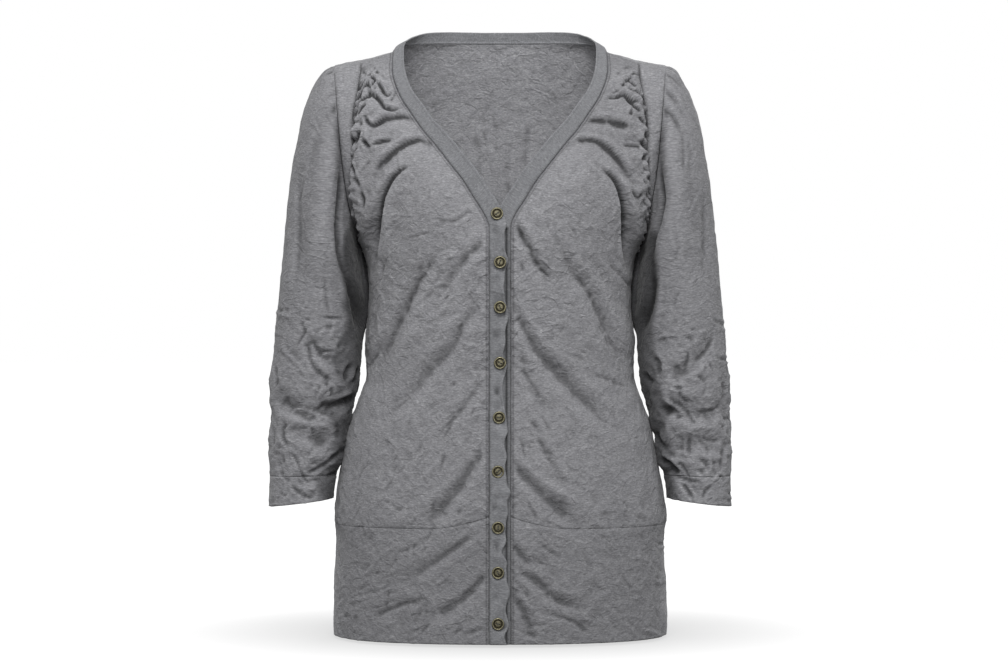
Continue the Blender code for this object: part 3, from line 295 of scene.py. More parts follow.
BACK_FOLDS = creases_in("""
9 12 4 1.5: -150,-252 -124,-264 -96,-288;
9 12 4 1.5: 150,-246 126,-256 92,-274;
9 12 5 1.5: -148,-352 -110,-338 -64,-342 -22,-330;
9 12 4.5 1.5: 148,-366 104,-350 58,-356 18,-346;
10 10 3 2.5: -70,-384 -10,-376 52,-388;
10 12 5 2: -150,-402 -104,-428 -62,-470 -40,-512;
10 12 4.5 2: 150,-410 110,-440 70,-474 52,-520;
10 12 1 3: -128,-120 -96,-150 -76,-196;
10 12 1 3: 126,-112 98,-146 82,-190;
10 12 2.5 2.5: -120,-590 -70,-606 -26,-640;
10 12 2.5 2: 124,-600 80,-618 40,-650;
""")
SLEEVE_FOLDS = {
    ("right", "front"): creases_in("""
8 9 2 2: 228,-141 228,-192 225,-237 221,-294;
8 9 3 5: 218,-335 202,-353 180,-367;
8 10 4 6: 254,-396 238,-413 213,-420 193,-412 174,-400;
8 9 3 4: 240,-440 212,-446 190,-462;
8 8 3 2.5: 188,-478 213,-491 236,-506;
"""),
    ("right", "back"): creases_in("""
9 10 4 4: 250,-372 224,-388 190,-384;
9 10 4 3: 250,-432 222,-440 196,-454;
9 10 2 3: 226,-210 214,-262 196,-306;
"""),
    ("left", "front"): creases_in("""
8 9 2 2: 233,-169 233,-214 228,-277;
8 9 2.5 5: 242,-335 226,-356 206,-372 186,-380;
8 10 3 5.5: 252,-419 227,-422 204,-418 180,-414;
8 9 2.5 4: 246,-452 220,-456 192,-466;
8 8 3 3: 196,-478 210,-496 222,-516;
"""),
    ("left", "back"): creases_in("""
9 10 4 4: 252,-364 226,-380 188,-378;
9 10 4 3: 250,-424 220,-438 194,-446;
9 10 2 3: 230,-204 216,-256 198,-300;
"""),
}

# Creases of the right front and its hem band, from the shoulder down.
RIGHT_CREASES = creases_in("""
1.9 2.16 1.68 1.92: -148,-38 -142,-44 -133,-57;
1.9 1.9 2.16 1.68: -135,-50 -131,-61 -126,-65 -121,-61 -117,-56;
3.6 4.6 1.3 2.2 -0.2: -88,-97 -100,-90 -115,-87 -127,-90 -137,-97 -146,-106;
1.9 2.16 1.44 2.4: -120,-116 -128,-118 -140,-120 -149,-123;
3.6 4.8 1.4 2.2 -0.2: -65,-129 -76,-120 -92,-115 -108,-121 -123,-133 -134,-147 -143,-162;
1.8 6.5 3 12 0.25: -96,-144 -110,-151 -120,-160 -127,-172 -132,-184 -135,-200 -139,-217 -142,-237
  -144,-256 -147,-272;
2.16 2.16 0.81 0.81: -120,-217 -125,-238 -129,-252;
1.98 2.16 0.81 0.81: -66,-182 -55,-185 -44,-188 -33,-189;
1.98 2.16 0.81 1.17: -77,-204 -61,-208 -49,-208 -42,-203 -35,-198 -27,-202 -20,-205;
3.4 5.4 0.96 0.935: -13,-229 -32,-243 -49,-262 -59,-278 -69,-297;
3.78 6.8 0.396 1.44 0.2: -58,-234 -78,-253 -98,-286 -118,-325 -136,-356 -151,-379;
2.7 2.7 -1.08 -1.26: -131,-322 -139,-337 -148,-353;
1.98 1.98 0.81 0.81: -22,-293 -33,-301;
1.98 1.98 0.81 0.81: -39,-308 -55,-311;
4.2 7.4 0.56 1.1 0.2: -16,-293 -39,-319 -52,-345 -78,-373 -106,-403 -139,-430;
2.7 3.06 1.17 1.17: -138,-294 -142,-316 -144,-339;
2.34 2.34 1.44 1.26: -153,-374 -144,-360 -136,-345;
1.98 1.98 0.81 0.81: -37,-339 -27,-342 -20,-339;
1.98 1.98 0.9 0.9: -16,-334 -11,-350;
3.4 4.8 0.96 0.765: -20,-384 -37,-408 -53,-430 -66,-459;
2.52 2.7 -1.08 -0.9: -61,-463 -75,-481 -89,-495 -98,-506;
4.2 7 0.64 1.19 0.2: -14,-451 -31,-480 -50,-508 -70,-531 -84,-550;
1.98 2.16 0.99 1.17: -134,-516 -122,-521 -111,-528 -107,-520;
1.98 1.98 -0.81 -0.81: -136,-521 -151,-533;
1.98 1.98 -0.81 -0.81: -33,-483 -24,-500;
3 4.6 1.2 1.02: -13,-549 -33,-558 -66,-581 -91,-597 -117,-612;
2.16 2.34 1.26 0.81: -78,-555 -98,-570 -122,-579;
3 4.6 1.36 1.02: -11,-593 -33,-618 -55,-636 -83,-649;
1.98 1.98 1.08 0.9: -77,-652 -89,-666;
2.16 2.52 1.08 1.35: -83,-626 -117,-636 -143,-649;
2.16 2.34 0.9 1.08: -117,-610 -139,-620 -155,-623;
1.9 1.9 -0.99 -0.99: -157,-636 -169,-655;
1.9 1.9 0.9 0.9: -50,-662 -39,-658;
2.16 2.88 1.08 1.8: -46,-668 -30,-662 -14,-657;
""")
# Creases of the left front and its hem band, from the shoulder down.
LEFT_CREASES = creases_in("""
1.9 2.16 1.68 1.92: 136,-50 145,-44 153,-50;
1.9 2.34 1.68 2.64: 122,-67 133,-59 138,-63 144,-68 153,-78;
3.6 4.6 0.9 2.2 0.2: 95,-97 108,-94 121,-95 136,-98 150,-101;
1.9 2.16 1.44 2.4: 134,-121 146,-122 157,-123;
3.6 4.8 0.9 2.2 0.2: 76,-124 95,-116 111,-119 128,-133 147,-164;
1.8 6.5 3 12 -0.25: 104,-144 120,-153 129,-162 134,-172 137,-183 140,-197 142,-215 144,-239 146,-256
  148,-272;
1.9 1.9 0.9 0.72: 11,-212 13,-223 15,-234;
1.9 1.9 0.9 0.9: 23,-253 26,-264;
3.2 5.2 1.2 1.19: 13,-202 25,-225 37,-248 48,-266 56,-281;
3.78 6.8 0.44 1.36 -0.2: 62,-225 78,-259 98,-283 116,-314 131,-344 151,-374;
4 7.6 0.72 1.53 -0.2: 9,-295 25,-322 42,-352 69,-380 98,-408 135,-438;
1.98 1.98 0.72 0.72: 59,-295 72,-311;
2.8 4.4 0.9 0.825: 22,-345 30,-378 45,-406 65,-424;
1.9 1.9 0.9 0.9: 15,-365 20,-375;
2.34 2.7 0.9 1.44: 101,-378 124,-384 142,-394;
2.52 2.7 -1.17 -0.9: 33,-426 50,-472 59,-485 72,-506;
1.98 2.16 1.08 0.9: 45,-419 52,-434 59,-442;
4.2 7.2 0.64 1.36 -0.2: 9,-468 28,-492 50,-514 69,-530 88,-546;
1.98 2.34 1.08 1.08: 28,-516 37,-530 44,-544;
1.98 1.98 0.9 0.9: 134,-516 146,-529;
1.98 1.98 1.08 1.08: 56,-542 67,-548 74,-551;
2.8 4.2 1.05 0.825: 9,-560 25,-579 38,-592;
2.16 2.34 1.17 0.9: 41,-561 50,-569 61,-577 73,-586;
3 4.4 1.12 1.1: 9,-583 22,-594 41,-608 58,-623 98,-642;
1.9 1.98 0.99 0.81: 8,-599 19,-608 28,-618 33,-629 44,-640;
2.8 4.2 1.05 0.825: 8,-620 23,-635 31,-651 40,-664;
2.16 2.34 0.9 1.17: 50,-640 83,-652 102,-666;
1.9 1.9 0.81 0.81: 61,-635 72,-642;
2.16 2.7 1.62 0.9: 13,-657 30,-664 48,-669;
""")
# Creases of the gathered cloth beside each strap, from the shoulder down.
RIGHT_GATHERS = creases_in("""
1.8 2.2 2.4 3.6: -155,-52 -158,-68 -161,-81 -164,-92 -166,-105 -167,-116;
2.4 2 3.2 1.6: -151,-73 -156,-80 -160,-88;
2.6 2.2 5.5 3.6: -156,-105 -159,-112 -162,-120;
1.8 1.8 2.4 2.4: -157,-122 -161,-127 -165,-135;
2 2.2 3.2 2.6: -166,-135 -165,-144 -162,-151 -159,-157;
1.7 1.7 1.8 1.8: -168,-171 -167,-180 -164,-193 -158,-209;
2.2 2.6 4 4.6: -169,-192 -166,-202 -162,-211 -158,-219;
2.2 2.2 3.4 2.6: -152,-114 -149,-120 -145,-124;
1.9 2.2 2.8 2.4: -150,-88 -147,-96 -142,-99 -138,-97 -132,-94;
1.9 1.8 2.8 2.4: -147,-40 -142,-46 -145,-55;
1.8 1.8 2.4 2.2: -150,-49 -147,-54 -147,-67;
1.9 2.2 3.4 2.6: -146,-61 -139,-66 -134,-72 -130,-78 -124,-80 -116,-81;
1.9 1.9 2.4 2.4: -137,-48 -134,-55 -130,-62;
1.8 1.8 1.6 1.2: -123,-71 -120,-66 -116,-60;
2.3 2.3 -2.4 -2: -146,-57 -141,-61 -136,-59;
2.2 2.2 2 1.4: -139,-119 -131,-117 -120,-116;
2.8 2.4 2.4 1.6: -164,-155 -159,-160 -155,-168;
2.2 2.2 1.8 1.6: -155,-171 -152,-180 -152,-192;
2.5 2.5 -1.8 -1.4: -151,-100 -148,-108 -150,-116;
2.3 2.3 -2.2 -1.6: -159,-94 -159,-100 -164,-106;
1.8 1.8 1.8 1.8: -156,-33 -152,-39 -155,-48;
1.9 1.9 1.4 1.2: -145,-25 -139,-36 -130,-43;
""")
LEFT_GATHERS = creases_in("""
1.8 2.2 2.4 3.8: 160,-70 164,-86 166,-97 167,-108;
2.1 2.1 4 3.2: 162,-105 165,-113 167,-120;
2 2 3.2 2.6: 158,-115 163,-125;
1.9 1.9 2.6 2.6: 165,-124 168,-133;
2.4 2.4 4.2 3.6: 166,-138 168,-147;
1.7 1.8 2 2.4: 169,-159 172,-171 172,-190;
2.4 2.6 4.6 4.6: 168,-197 171,-210;
2 2 3.4 2.6: 143,-67 149,-75 156,-83;
2 2 2 1.6: 146,-86 150,-78;
2 2 3.2 2.6: 141,-45 147,-50 153,-57;
1.8 1.8 2.2 1.8: 137,-54 143,-48 148,-42 153,-35;
1.8 2 1.8 2.6: 122,-67 132,-66 139,-62 146,-67 153,-75;
1.9 1.9 2.4 2: 156,-89 160,-96;
1.8 1.8 1.8 1.6: 157,-55 160,-67;
2.4 2.4 1.6 1.6: 146,-171 153,-179 160,-172;
2 2 2 1.8: 157,-138 163,-129;
2.6 2.4 -2 -1.6: 153,-100 157,-107 155,-115;
2 2 -1.8 -1.6: 150,-60 155,-68 158,-76;
1.9 1.9 1.4 1.2: 132,-39 140,-32 147,-29;
""")
# Creases of the back and its hem band, seen as a plan from the front.
BACK_CREASES = creases_in("""
2.34 3.06 2.88 1.2: -152,-250 -128,-262 -100,-286 -84,-300;
2.34 3.06 2.88 1.2: 152,-243 128,-254 98,-272 78,-292;
2.2 2.52 1.92 0.96: -146,-228 -120,-236 -98,-252;
2.2 2.52 1.92 0.96: 150,-220 122,-230 102,-246;
3.78 5.83 1.54 0.5: -150,-352 -112,-339 -66,-342 -24,-331;
3.78 5.83 1.43 0.5: 150,-366 106,-351 60,-356 20,-347;
2.34 2.7 1.44 1.08: -120,-318 -82,-310 -50,-318;
2.34 2.7 1.44 1.08: 118,-324 84,-316 44,-322;
2.7 2.88 1.68 1.44: -70,-384 -10,-376 52,-388;
2.34 2.52 1.2 1.08: -40,-362 0,-356 38,-362;
3.78 6.16 1.54 0.6: -152,-402 -106,-428 -64,-470 -42,-512;
3.78 6.16 1.43 0.6: 152,-410 112,-440 72,-474 54,-520;
2.34 2.7 1.68 1.08: -158,-440 -126,-462 -104,-494;
2.34 2.7 1.68 1.08: 160,-448 132,-468 112,-500;
2.34 3.06 1.08 1.68: -128,-120 -96,-150 -76,-196 -70,-226;
2.34 3.06 1.08 1.68: 126,-112 98,-146 82,-190 76,-222;
2.2 2.52 0.96 1.08: -30,-84 -24,-120 -28,-160;
2.2 2.34 -0.84 -0.96: -16,-56 -10,-92 -12,-128;
2.2 2.52 0.96 0.96: 38,-70 30,-110 34,-150;
2.34 2.52 0.96 0.96: 12,-96 8,-140 16,-188;
2.34 2.88 1.68 1.44: -120,-590 -70,-606 -26,-640;
2.34 2.88 1.68 1.44: 124,-600 80,-618 40,-650;
2.34 2.52 1.2 1.08: -20,-560 6,-590 12,-630;
2.2 2.34 1.44 1.2: -84,-520 -60,-538 -46,-556;
2.2 2.34 1.44 1.2: 92,-516 70,-536 58,-556;
""")
# Creases of the sleeves and cuffs, x counted outwards on both.
SLEEVE_CREASES = {
    ("right", "front"): creases_in("""
2.4 3.4 3.5 7: 180,-138 181,-158 183,-181 184,-209 182,-243 177,-262 171,-278;
4 5.5 5 8: 176,-264 170,-279 165,-296 161,-319 160,-334;
3.4 3.4 1 1: 229,-135 228,-192 229,-249 234,-305;
2.55 2.55 1.22 1.22: 199,-238 197,-283 189,-328;
2.6 3.2 2.6 3.6: 219,-336 215,-353 211,-366 204,-375 195,-382 186,-388 178,-394;
2.2 2.2 2.2 1.6: 212,-339 205,-350 196,-359 189,-358;
2.3 2.3 -1.7 -1.3: 247,-347 237,-357 225,-368 214,-380 208,-381;
1.8 1.8 1.7 1.5: 232,-392 226,-402 220,-411;
2 2 2 1.6: 204,-388 206,-400 211,-409;
2.3 2.3 2.2 2: 203,-388 195,-389 189,-398 194,-406;
2.2 2.2 -2.4 -2: 244,-410 231,-416 216,-419 205,-424 194,-429 187,-437 184,-445;
2 2 2.2 1.8: 249,-407 237,-414 224,-416;
2.3 2.3 2 2: 230,-421 219,-427 203,-430;
1.8 1.8 1.6 1.4: 216,-428 211,-441 207,-452;
1.9 1.9 2 2.4: 237,-464 229,-474 225,-486 220,-495 215,-500;
3.2 2.2 4.6 1.6: 173,-461 185,-469 194,-478 202,-483 213,-487 223,-486;
2.2 2.2 2.6 3.2: 237,-501 228,-510 216,-516 205,-518;
2 2 -1.8 -1.6: 234,-497 223,-505 212,-508 204,-506;
2 2 2 1.8: 222,-491 217,-498 208,-497 202,-501;
2.6 2.6 1.8 2.2: 256,-364 253,-382 253,-398;
2.6 2.6 1.8 2: 257,-434 256,-450 257,-463;
1.8 1.8 1.6 1.4: 248,-486 243,-495 235,-499;
3.2 3 5 4: 167,-364 173,-375 175,-389;
2.6 2.6 4 3: 161,-368 164,-382 170,-391;
5 3.2 8 3.6: 162,-402 175,-409 187,-414 201,-416;
2.8 2.6 -2.6 -1.6: 167,-397 178,-402 191,-407 203,-414;
2.8 2.8 2.6 2: 190,-430 185,-441 187,-454;
2.6 2.4 4 2: 182,-490 191,-492 199,-497;
2.4 2.2 1.4 1.6: 225,-311 221,-328 220,-337;
"""),
    ("left", "front"): creases_in("""
2.4 3.4 3.5 6: 181,-136 183,-158 185,-181 180,-209 174,-228 172,-246 174,-262;
4 5.5 5 8: 174,-258 174,-277 171,-296 164,-319 160,-339;
3.4 3.4 1 1: 232,-169 232,-220 228,-277;
2.55 2.55 1.08 1.08: 206,-102 205,-159;
2.55 2.55 1.35 1.35: 200,-215 197,-249 189,-260;
2.2 2 2.6 1.6: 242,-334 235,-349 225,-359 216,-365;
2.4 2.2 2 2: 212,-350 210,-364 207,-375;
2.2 2.2 2.8 2.2: 201,-392 204,-403 213,-411;
2 2 -1.8 -1.4: 205,-391 209,-401 216,-408;
1.9 1.9 1.6 1.6: 230,-382 229,-398 225,-409;
1.9 1.9 2 1.8: 216,-418 231,-419 244,-416 251,-410;
1.8 1.8 -1.4 -1.2: 219,-415 231,-416 241,-412;
2.4 2.2 -2.2 -1.8: 184,-402 192,-411 200,-417 210,-420;
4.2 2.6 6 2.4: 183,-411 189,-418 198,-423 207,-427;
2 2 1.8 1.8: 192,-435 198,-429 206,-425;
2.2 2.2 -2.6 -2.2: 179,-464 191,-471 201,-481 207,-490 211,-498;
3.8 2.6 6 3: 180,-472 191,-479 198,-488 204,-496;
2.2 2.2 2.8 3.2: 203,-499 210,-508 219,-521;
2 1.9 2.6 1.8: 192,-492 203,-495 214,-498 229,-500;
2 2 2 2.2: 241,-501 231,-510 227,-521;
2.8 2.8 2 2: 250,-382 254,-398 250,-412;
2.8 2.8 2 2: 254,-450 251,-472 248,-490;
1.8 1.8 1.6 1.4: 229,-453 232,-445 239,-441;
3 2.8 4.6 3.6: 175,-357 180,-366 178,-380;
2.8 2.8 4.2 3: 164,-375 169,-384 176,-389;
3.2 2.8 5 2.6: 174,-441 179,-450 186,-459 196,-464;
2 2 1.5 1.3: 222,-377 228,-384 235,-382;
2 2 1.6 1.4: 214,-337 219,-347 225,-350;
"""),
    ("right", "back"): creases_in("""
2.21 2.72 2.7 2.7: 252,-372 226,-388 190,-384;
2.04 2.38 1.76 1.89: 246,-350 222,-362 196,-360;
2.21 2.55 2.43 2.43: 252,-408 228,-414 198,-408;
2.21 2.72 2.7 2.16: 252,-432 224,-440 198,-454;
2.04 2.21 1.62 1.76: 240,-456 222,-466 204,-480;
2.55 2.89 1.35 1.89: 226,-210 214,-262 196,-306;
2.55 2.55 1.08 1.22: 208,-150 202,-204 190,-250;
1.9 2.21 1.62 1.89: 214,-486 228,-500 240,-514;
"""),
    ("left", "back"): creases_in("""
2.21 2.72 2.7 2.7: 254,-364 228,-380 190,-378;
2.04 2.38 1.62 1.89: 248,-342 224,-352 198,-350;
2.21 2.55 2.43 2.43: 252,-398 226,-406 196,-404;
2.21 2.72 2.7 2.16: 252,-424 222,-438 196,-446;
2.04 2.21 1.76 1.76: 242,-452 224,-460 202,-474;
2.55 2.89 1.35 1.89: 230,-204 216,-256 198,-300;
2.55 2.55 1.08 1.22: 210,-146 204,-198 194,-244;
1.9 2.21 1.62 1.89: 212,-484 226,-496 242,-508;
"""),
}

# The hollow down the inner side of each sleeve: height, width from the inner edge, share of
# its brightness that is taken away there as painted shade.
INNER_HOLLOW = {
    "right": np.array([
        (-517, 12, 0.5), (-497, 20, 0.45), (-482, 8, 0.55), (-469, 13, 0.4), (-455, 10, 0.5),
        (-441, 16, 0.55), (-424, 24, 0.5), (-416, 36, 0.45), (-405, 24, 0.35), (-390, 14, 0.45),
        (-380, 24, 0.45), (-362, 28, 0.48), (-345, 24, 0.48), (-328, 18, 0.62), (-315, 20, 0.74),
        (-300, 28, 0.78), (-280, 30, 0.72), (-262, 31, 0.66), (-243, 30, 0.7), (-225, 26, 0.68),
        (-212, 19, 0.5), (-200, 12, 0.25), (-190, 6, 0.0),
    ]),
    "left": np.array([
        (-517, 8, 0.45), (-497, 10, 0.45), (-486, 15, 0.45), (-463, 16, 0.45), (-441, 12, 0.55),
        (-429, 18, 0.45), (-418, 24, 0.5), (-405, 18, 0.5), (-384, 17, 0.6), (-362, 19, 0.45),
        (-345, 15, 0.5), (-328, 15, 0.6), (-315, 22, 0.72), (-294, 30, 0.72), (-277, 33, 0.66),
        (-243, 29, 0.66), (-225, 24, 0.6), (-210, 16, 0.4), (-196, 8, 0.0),
    ]),
}
# The valley between each strap and its sleeve, and on down the sleeve: height, x outwards.
VALLEY = {
    "right": np.array([
        (-319, 161), (-296, 165), (-278, 171), (-262, 177), (-243, 182), (-209, 184),
        (-181, 183), (-158, 181), (-124, 179.5), (-100, 182.6), (-81, 184.4), (-60, 186.3),
        (-35, 189),
    ]),
    "left": np.array([
        (-339, 160), (-319, 164), (-296, 171), (-277, 174), (-246, 172), (-228, 174),
        (-209, 180), (-181, 185), (-158, 183), (-124, 180), (-100, 182.6), (-81, 184.4),
        (-60, 186.3), (-35, 189),
    ]),
}

# Dents of each sleeve where it lies against the body: moved along X or Y (0 or 1), by how much,
# middle and half width in turns from the inner side by the front, then the first section with
# the sections over which it grows, and the last with those over which it fades.
SLEEVE_DENTS = (
    (0, -10.5, -0.055, 0.06, 0.0, 0.7, 6.8, 1.8), (1, 12.0, 0.05, 0.035, 0.0, 0.7, 6.8, 1.8),
    (1, -4.0, 0.135, 0.03, 0.0, 0.7, 6.8, 1.8), (0, -6.0, 0.06, 0.07, 10.9, 0.7, 13.8, 0.5),
)


# ---------------------------------------------------------------- curves
def through(knots: Sequence[float], values: np.ndarray, at: np.ndarray | float) -> np.ndarray:
    """Smooth curve through table rows, with slopes averaged at each row.

    Args:
        knots: Where the rows lie along the curve, rising.
        values: One row of numbers for each knot.
        at: Where the curve is wanted.

    Returns:
        One row of numbers for each place in at.
    """
    knots = np.asarray(knots, float)
    values = np.asarray(values, float)
    values = values[:, None] if values.ndim == 1 else values
    steps = np.diff(knots)
    slopes = np.diff(values, axis=0) / steps[:, None]
    tangents = np.empty_like(values)
    tangents[0], tangents[-1] = slopes[0], slopes[-1]
    lean = (steps[1:] / (steps[1:] + steps[:-1]))[:, None]
    tangents[1:-1] = lean * slopes[:-1] + (1.0 - lean) * slopes[1:]
    at = np.clip(np.atleast_1d(np.asarray(at, float)), knots[0], knots[-1])
    cell = np.clip(np.searchsorted(knots, at, side="right") - 1, 0, len(steps) - 1)
    width = steps[cell][:, None]
    u = (at - knots[cell])[:, None] / width
    start = (2 * u ** 3 - 3 * u ** 2 + 1) * values[cell]
    end = (3 * u ** 2 - 2 * u ** 3) * values[cell + 1]
    pull = (u ** 3 - 2 * u ** 2 + u) * tangents[cell] + (u ** 3 - u ** 2) * tangents[cell + 1]
    return start + end + width * pull


def ease(value: np.ndarray | float) -> np.ndarray | float:
    """Smooth step from 0 to 1."""
    value = np.clip(value, 0.0, 1.0)
    return value * value * (3.0 - 2.0 * value)


def bell(away: np.ndarray) -> np.ndarray:
    """1 at no distance, falling smoothly to almost nothing at two half widths."""
    return np.exp(-away ** 2)


def walked(points: np.ndarray) -> np.ndarray:
    """Length walked along a line of points, from 0 at its start."""
    steps = np.linalg.norm(np.diff(points, axis=0), axis=1)
    return np.concatenate([[0.0], np.cumsum(steps)])


def share_out(points: np.ndarray, shares: np.ndarray) -> np.ndarray:
    """Points at shares of the length of a polyline."""
    along = walked(points)
    return np.stack([np.interp(shares * along[-1], along, points[:, axis]) for axis in range(3)],
                    axis=1)


def spaced(total: float, step: float, fine: Sequence[float]) -> np.ndarray:
    """Places along a width, close together beside both edges and even between.

    Args:
        total: The whole width.
        step: Spacing in the middle.
        fine: Distances from each edge where a place is kept.

    Returns:
        Shares of the width, from 0 to 1.
    """
    near = np.concatenate([[0.0], np.asarray(fine, float)])
    count = max(2, round((total - 2 * near[-1]) / step))
    middle = np.linspace(near[-1], total - near[-1], count + 1)[1:-1]
    return np.concatenate([near, middle, total - near[::-1]]) / total


def lattice_noise(points: np.ndarray, size: float, seed: int) -> np.ndarray:
    """Smooth uneven relief from a seeded block of numbers.

    Args:
        points: Places, in mm, with x, y and z last.
        size: Distance between dents, in mm.
        seed: Which block.

    Returns:
        Heights from about -1 to 1.
    """
    block_size = 48
    block = np.random.default_rng(seed).uniform(-1, 1, (block_size,) * 3)
    turn = np.array(Matrix.Rotation(0.9, 3, Vector((1.0, 0.7, 0.4)).normalized()))
    place = points @ turn.T / size
    cell = np.floor(place).astype(int)
    share = ease(place - cell)
    total = np.zeros(points.shape[:-1])
    for corner in itertools.product((0, 1), repeat=3):
        weight = np.ones(points.shape[:-1])
        for axis, side in enumerate(corner):
            weight = weight * (share[..., axis] if side else 1 - share[..., axis])
        index = tuple((cell[..., axis] + corner[axis]) % block_size for axis in range(3))
        total += weight * block[index]
    return total


def normals(grid: np.ndarray, tube: bool = False) -> np.ndarray:
    """Unit normals of a grid of points, columns crossed with rows, wrapped on a tube."""
    wrapped = np.concatenate([grid[:, -2:-1], grid, grid[:, 1:2]], axis=1) if tube else grid
    normal = np.cross(np.gradient(wrapped, axis=1), np.gradient(wrapped, axis=0))
    normal = normal[:, 1:-1] if tube else normal
    return normal / np.maximum(np.linalg.norm(normal, axis=2, keepdims=True), 1e-9)


# ---------------------------------------------------------------- relief of the cloth
def fold_relief(x: np.ndarray, z: np.ndarray, creases: Iterable[Crease],
                ends: tuple[float, float] = (0.0, 0.0)) -> np.ndarray:
    """Distance the cloth moves outwards at points seen from the front.

    Args:
        x: Distance across, in mm.
        z: Height, in mm.
        creases: The folds.
        ends: Share of its depth that a fold keeps at its start and at its end.

    Returns:
        Height of the relief at each point, in mm.
    """
    relief = np.zeros_like(x)
    for crease in creases:
        path = np.asarray(crease.path, float)
        if len(path) > 2:
            along = walked(path)
            path = through(along, path, np.linspace(0, along[-1], 6 * len(path)))
        reach = FOLD_REACH * max(crease.wide_start, crease.wide_end)
        low, high = path.min(axis=0) - reach, path.max(axis=0) + reach
        near = (x > low[0]) & (x < high[0]) & (z > low[1]) & (z < high[1])
        if not near.any():
            continue
        px, pz = x[near], z[near]
        spans = np.linalg.norm(np.diff(path, axis=0), axis=1)
        nearest = np.full(px.shape, 1e9)
        share = np.zeros_like(px)
        side = np.zeros_like(px)
        start = 0.0
        for first, second, span in zip(path[:-1], path[1:], spans):
            way = (second - first) / span
            run = np.clip((px - first[0]) * way[0] + (pz - first[1]) * way[1], 0, span)
            dx, dz = px - first[0] - run * way[0], pz - first[1] - run * way[1]
            away = np.hypot(dx, dz)
            closer = away < nearest
            nearest = np.where(closer, away, nearest)
            share = np.where(closer, (start + run) / spans.sum(), share)
            side = np.where(closer, way[0] * dz - way[1] * dx, side)
            start += span
        wide = crease.wide_start + (crease.wide_end - crease.wide_start) * share
        wide = wide * (1 - crease.lean * np.sign(side))
        deep = crease.deep_start + (crease.deep_end - crease.deep_start) * share
        deep = deep * ease(ends[0] + share / FOLD_GROWS)
        deep = deep * ease(ends[1] + (1 - share) / FOLD_DIES)
        away = nearest / wide
        roll = ROLL_SHARE * bell((away - ROLL_AWAY) / ROLL_WIDE)
        steep = side * (-1 if crease.lean < 0 else 1) > 0
        far = FAR_ROLL * (1 - 2 * abs(crease.lean))
        relief[near] += deep * (np.where(steep, roll, far * roll) - bell(away))
    return relief


@dataclass(frozen=True)
class Scatter:
    """Small creases strewn over part of a piece, the same each time for a seed."""

    count: int
    across: tuple[float, float]
    height: tuple[float, float]
    heading: tuple[float, float]        # degrees above the +X direction, middle and spread
    length: tuple[float, float]
    deep: tuple[float, float]
    seed: int

    def creases(self) -> list[Crease]:
        """The creases, troughs and ridges mixed."""
        rng = np.random.default_rng(self.seed)
        made = []
        for _ in range(self.count):
            x, z = rng.uniform(*self.across), rng.uniform(*self.height)
            heading = math.radians(rng.normal(*self.heading))
            bend = math.radians(rng.normal(0, 22))
            step = rng.uniform(*self.length) / 3
            path = [(x, z)]
            for turn in range(3):
                angle = heading + bend * (turn - 1) / 2
                x, z = x + step * math.cos(angle), z + step * math.sin(angle)
                path.append((x, z))
            deep = 1.05 * rng.uniform(*self.deep) * (1 if rng.random() < 0.45 else -1)
            wide = rng.uniform(1.6, 2.6)
            made.append(Crease(tuple(path), wide, wide, deep, deep * rng.uniform(0.5, 1.1),
                               rng.uniform(-0.25, 0.25)))
        return made


# Small creases strewn over the pieces: count, span across, span of heights, heading and its
# spread in degrees, length, depth, seed.
FRONT_STREWN = (
    Scatter(46, (20, 150), (-250, -90), (-68, 28), (12, 34), (0.25, 0.8), 11),
    Scatter(70, (16, 170), (-545, -240), (-52, 20), (14, 46), (0.3, 1.0), 21),
    Scatter(26, (14, 60), (-545, -230), (-40, 24), (8, 24), (0.5, 1.3), 31),
    Scatter(52, (14, 185), (-672, -545), (-36, 24), (10, 38), (0.3, 1.1), 41),
)
BACK_STREWN = (
    Scatter(44, (-130, 130), (-215, -10), (-80, 30), (14, 44), (0.3, 0.8), 201),
    Scatter(60, (-150, 150), (-420, -215), (-10, 34), (14, 44), (0.3, 0.9), 202),
    Scatter(60, (-180, 180), (-545, -400), (-60, 40), (14, 44), (0.3, 0.9), 203),
    Scatter(60, (-185, 185), (-672, -545), (-50, 40), (12, 40), (0.3, 0.9), 204),
)
SLEEVE_STREWN = (
    Scatter(26, (175, 245), (-320, -60), (-88, 22), (18, 54), (0.3, 0.8), 401),
    Scatter(90, (168, 262), (-480, -300), (-24, 40), (8, 34), (0.5, 1.7), 411),
    Scatter(48, (182, 264), (-524, -462), (-34, 45), (8, 26), (0.4, 1.5), 421),
)


def strewn(scatters: Iterable[Scatter], shift: int = 0, mirror: int = 1) -> list[Crease]:
    """Creases of several strewings.

    Args:
        scatters: The strewings.
        shift: What is added to their seeds.
        mirror: -1 to lay them on the other side of the centre line.

    Returns:
        The creases.
    """
    made = []
    for scatter in scatters:
        for crease in replace(scatter, seed=scatter.seed + shift).creases():
            path = tuple((mirror * x, z) for x, z in crease.path)
            made.append(replace(crease, path=path))
    return made


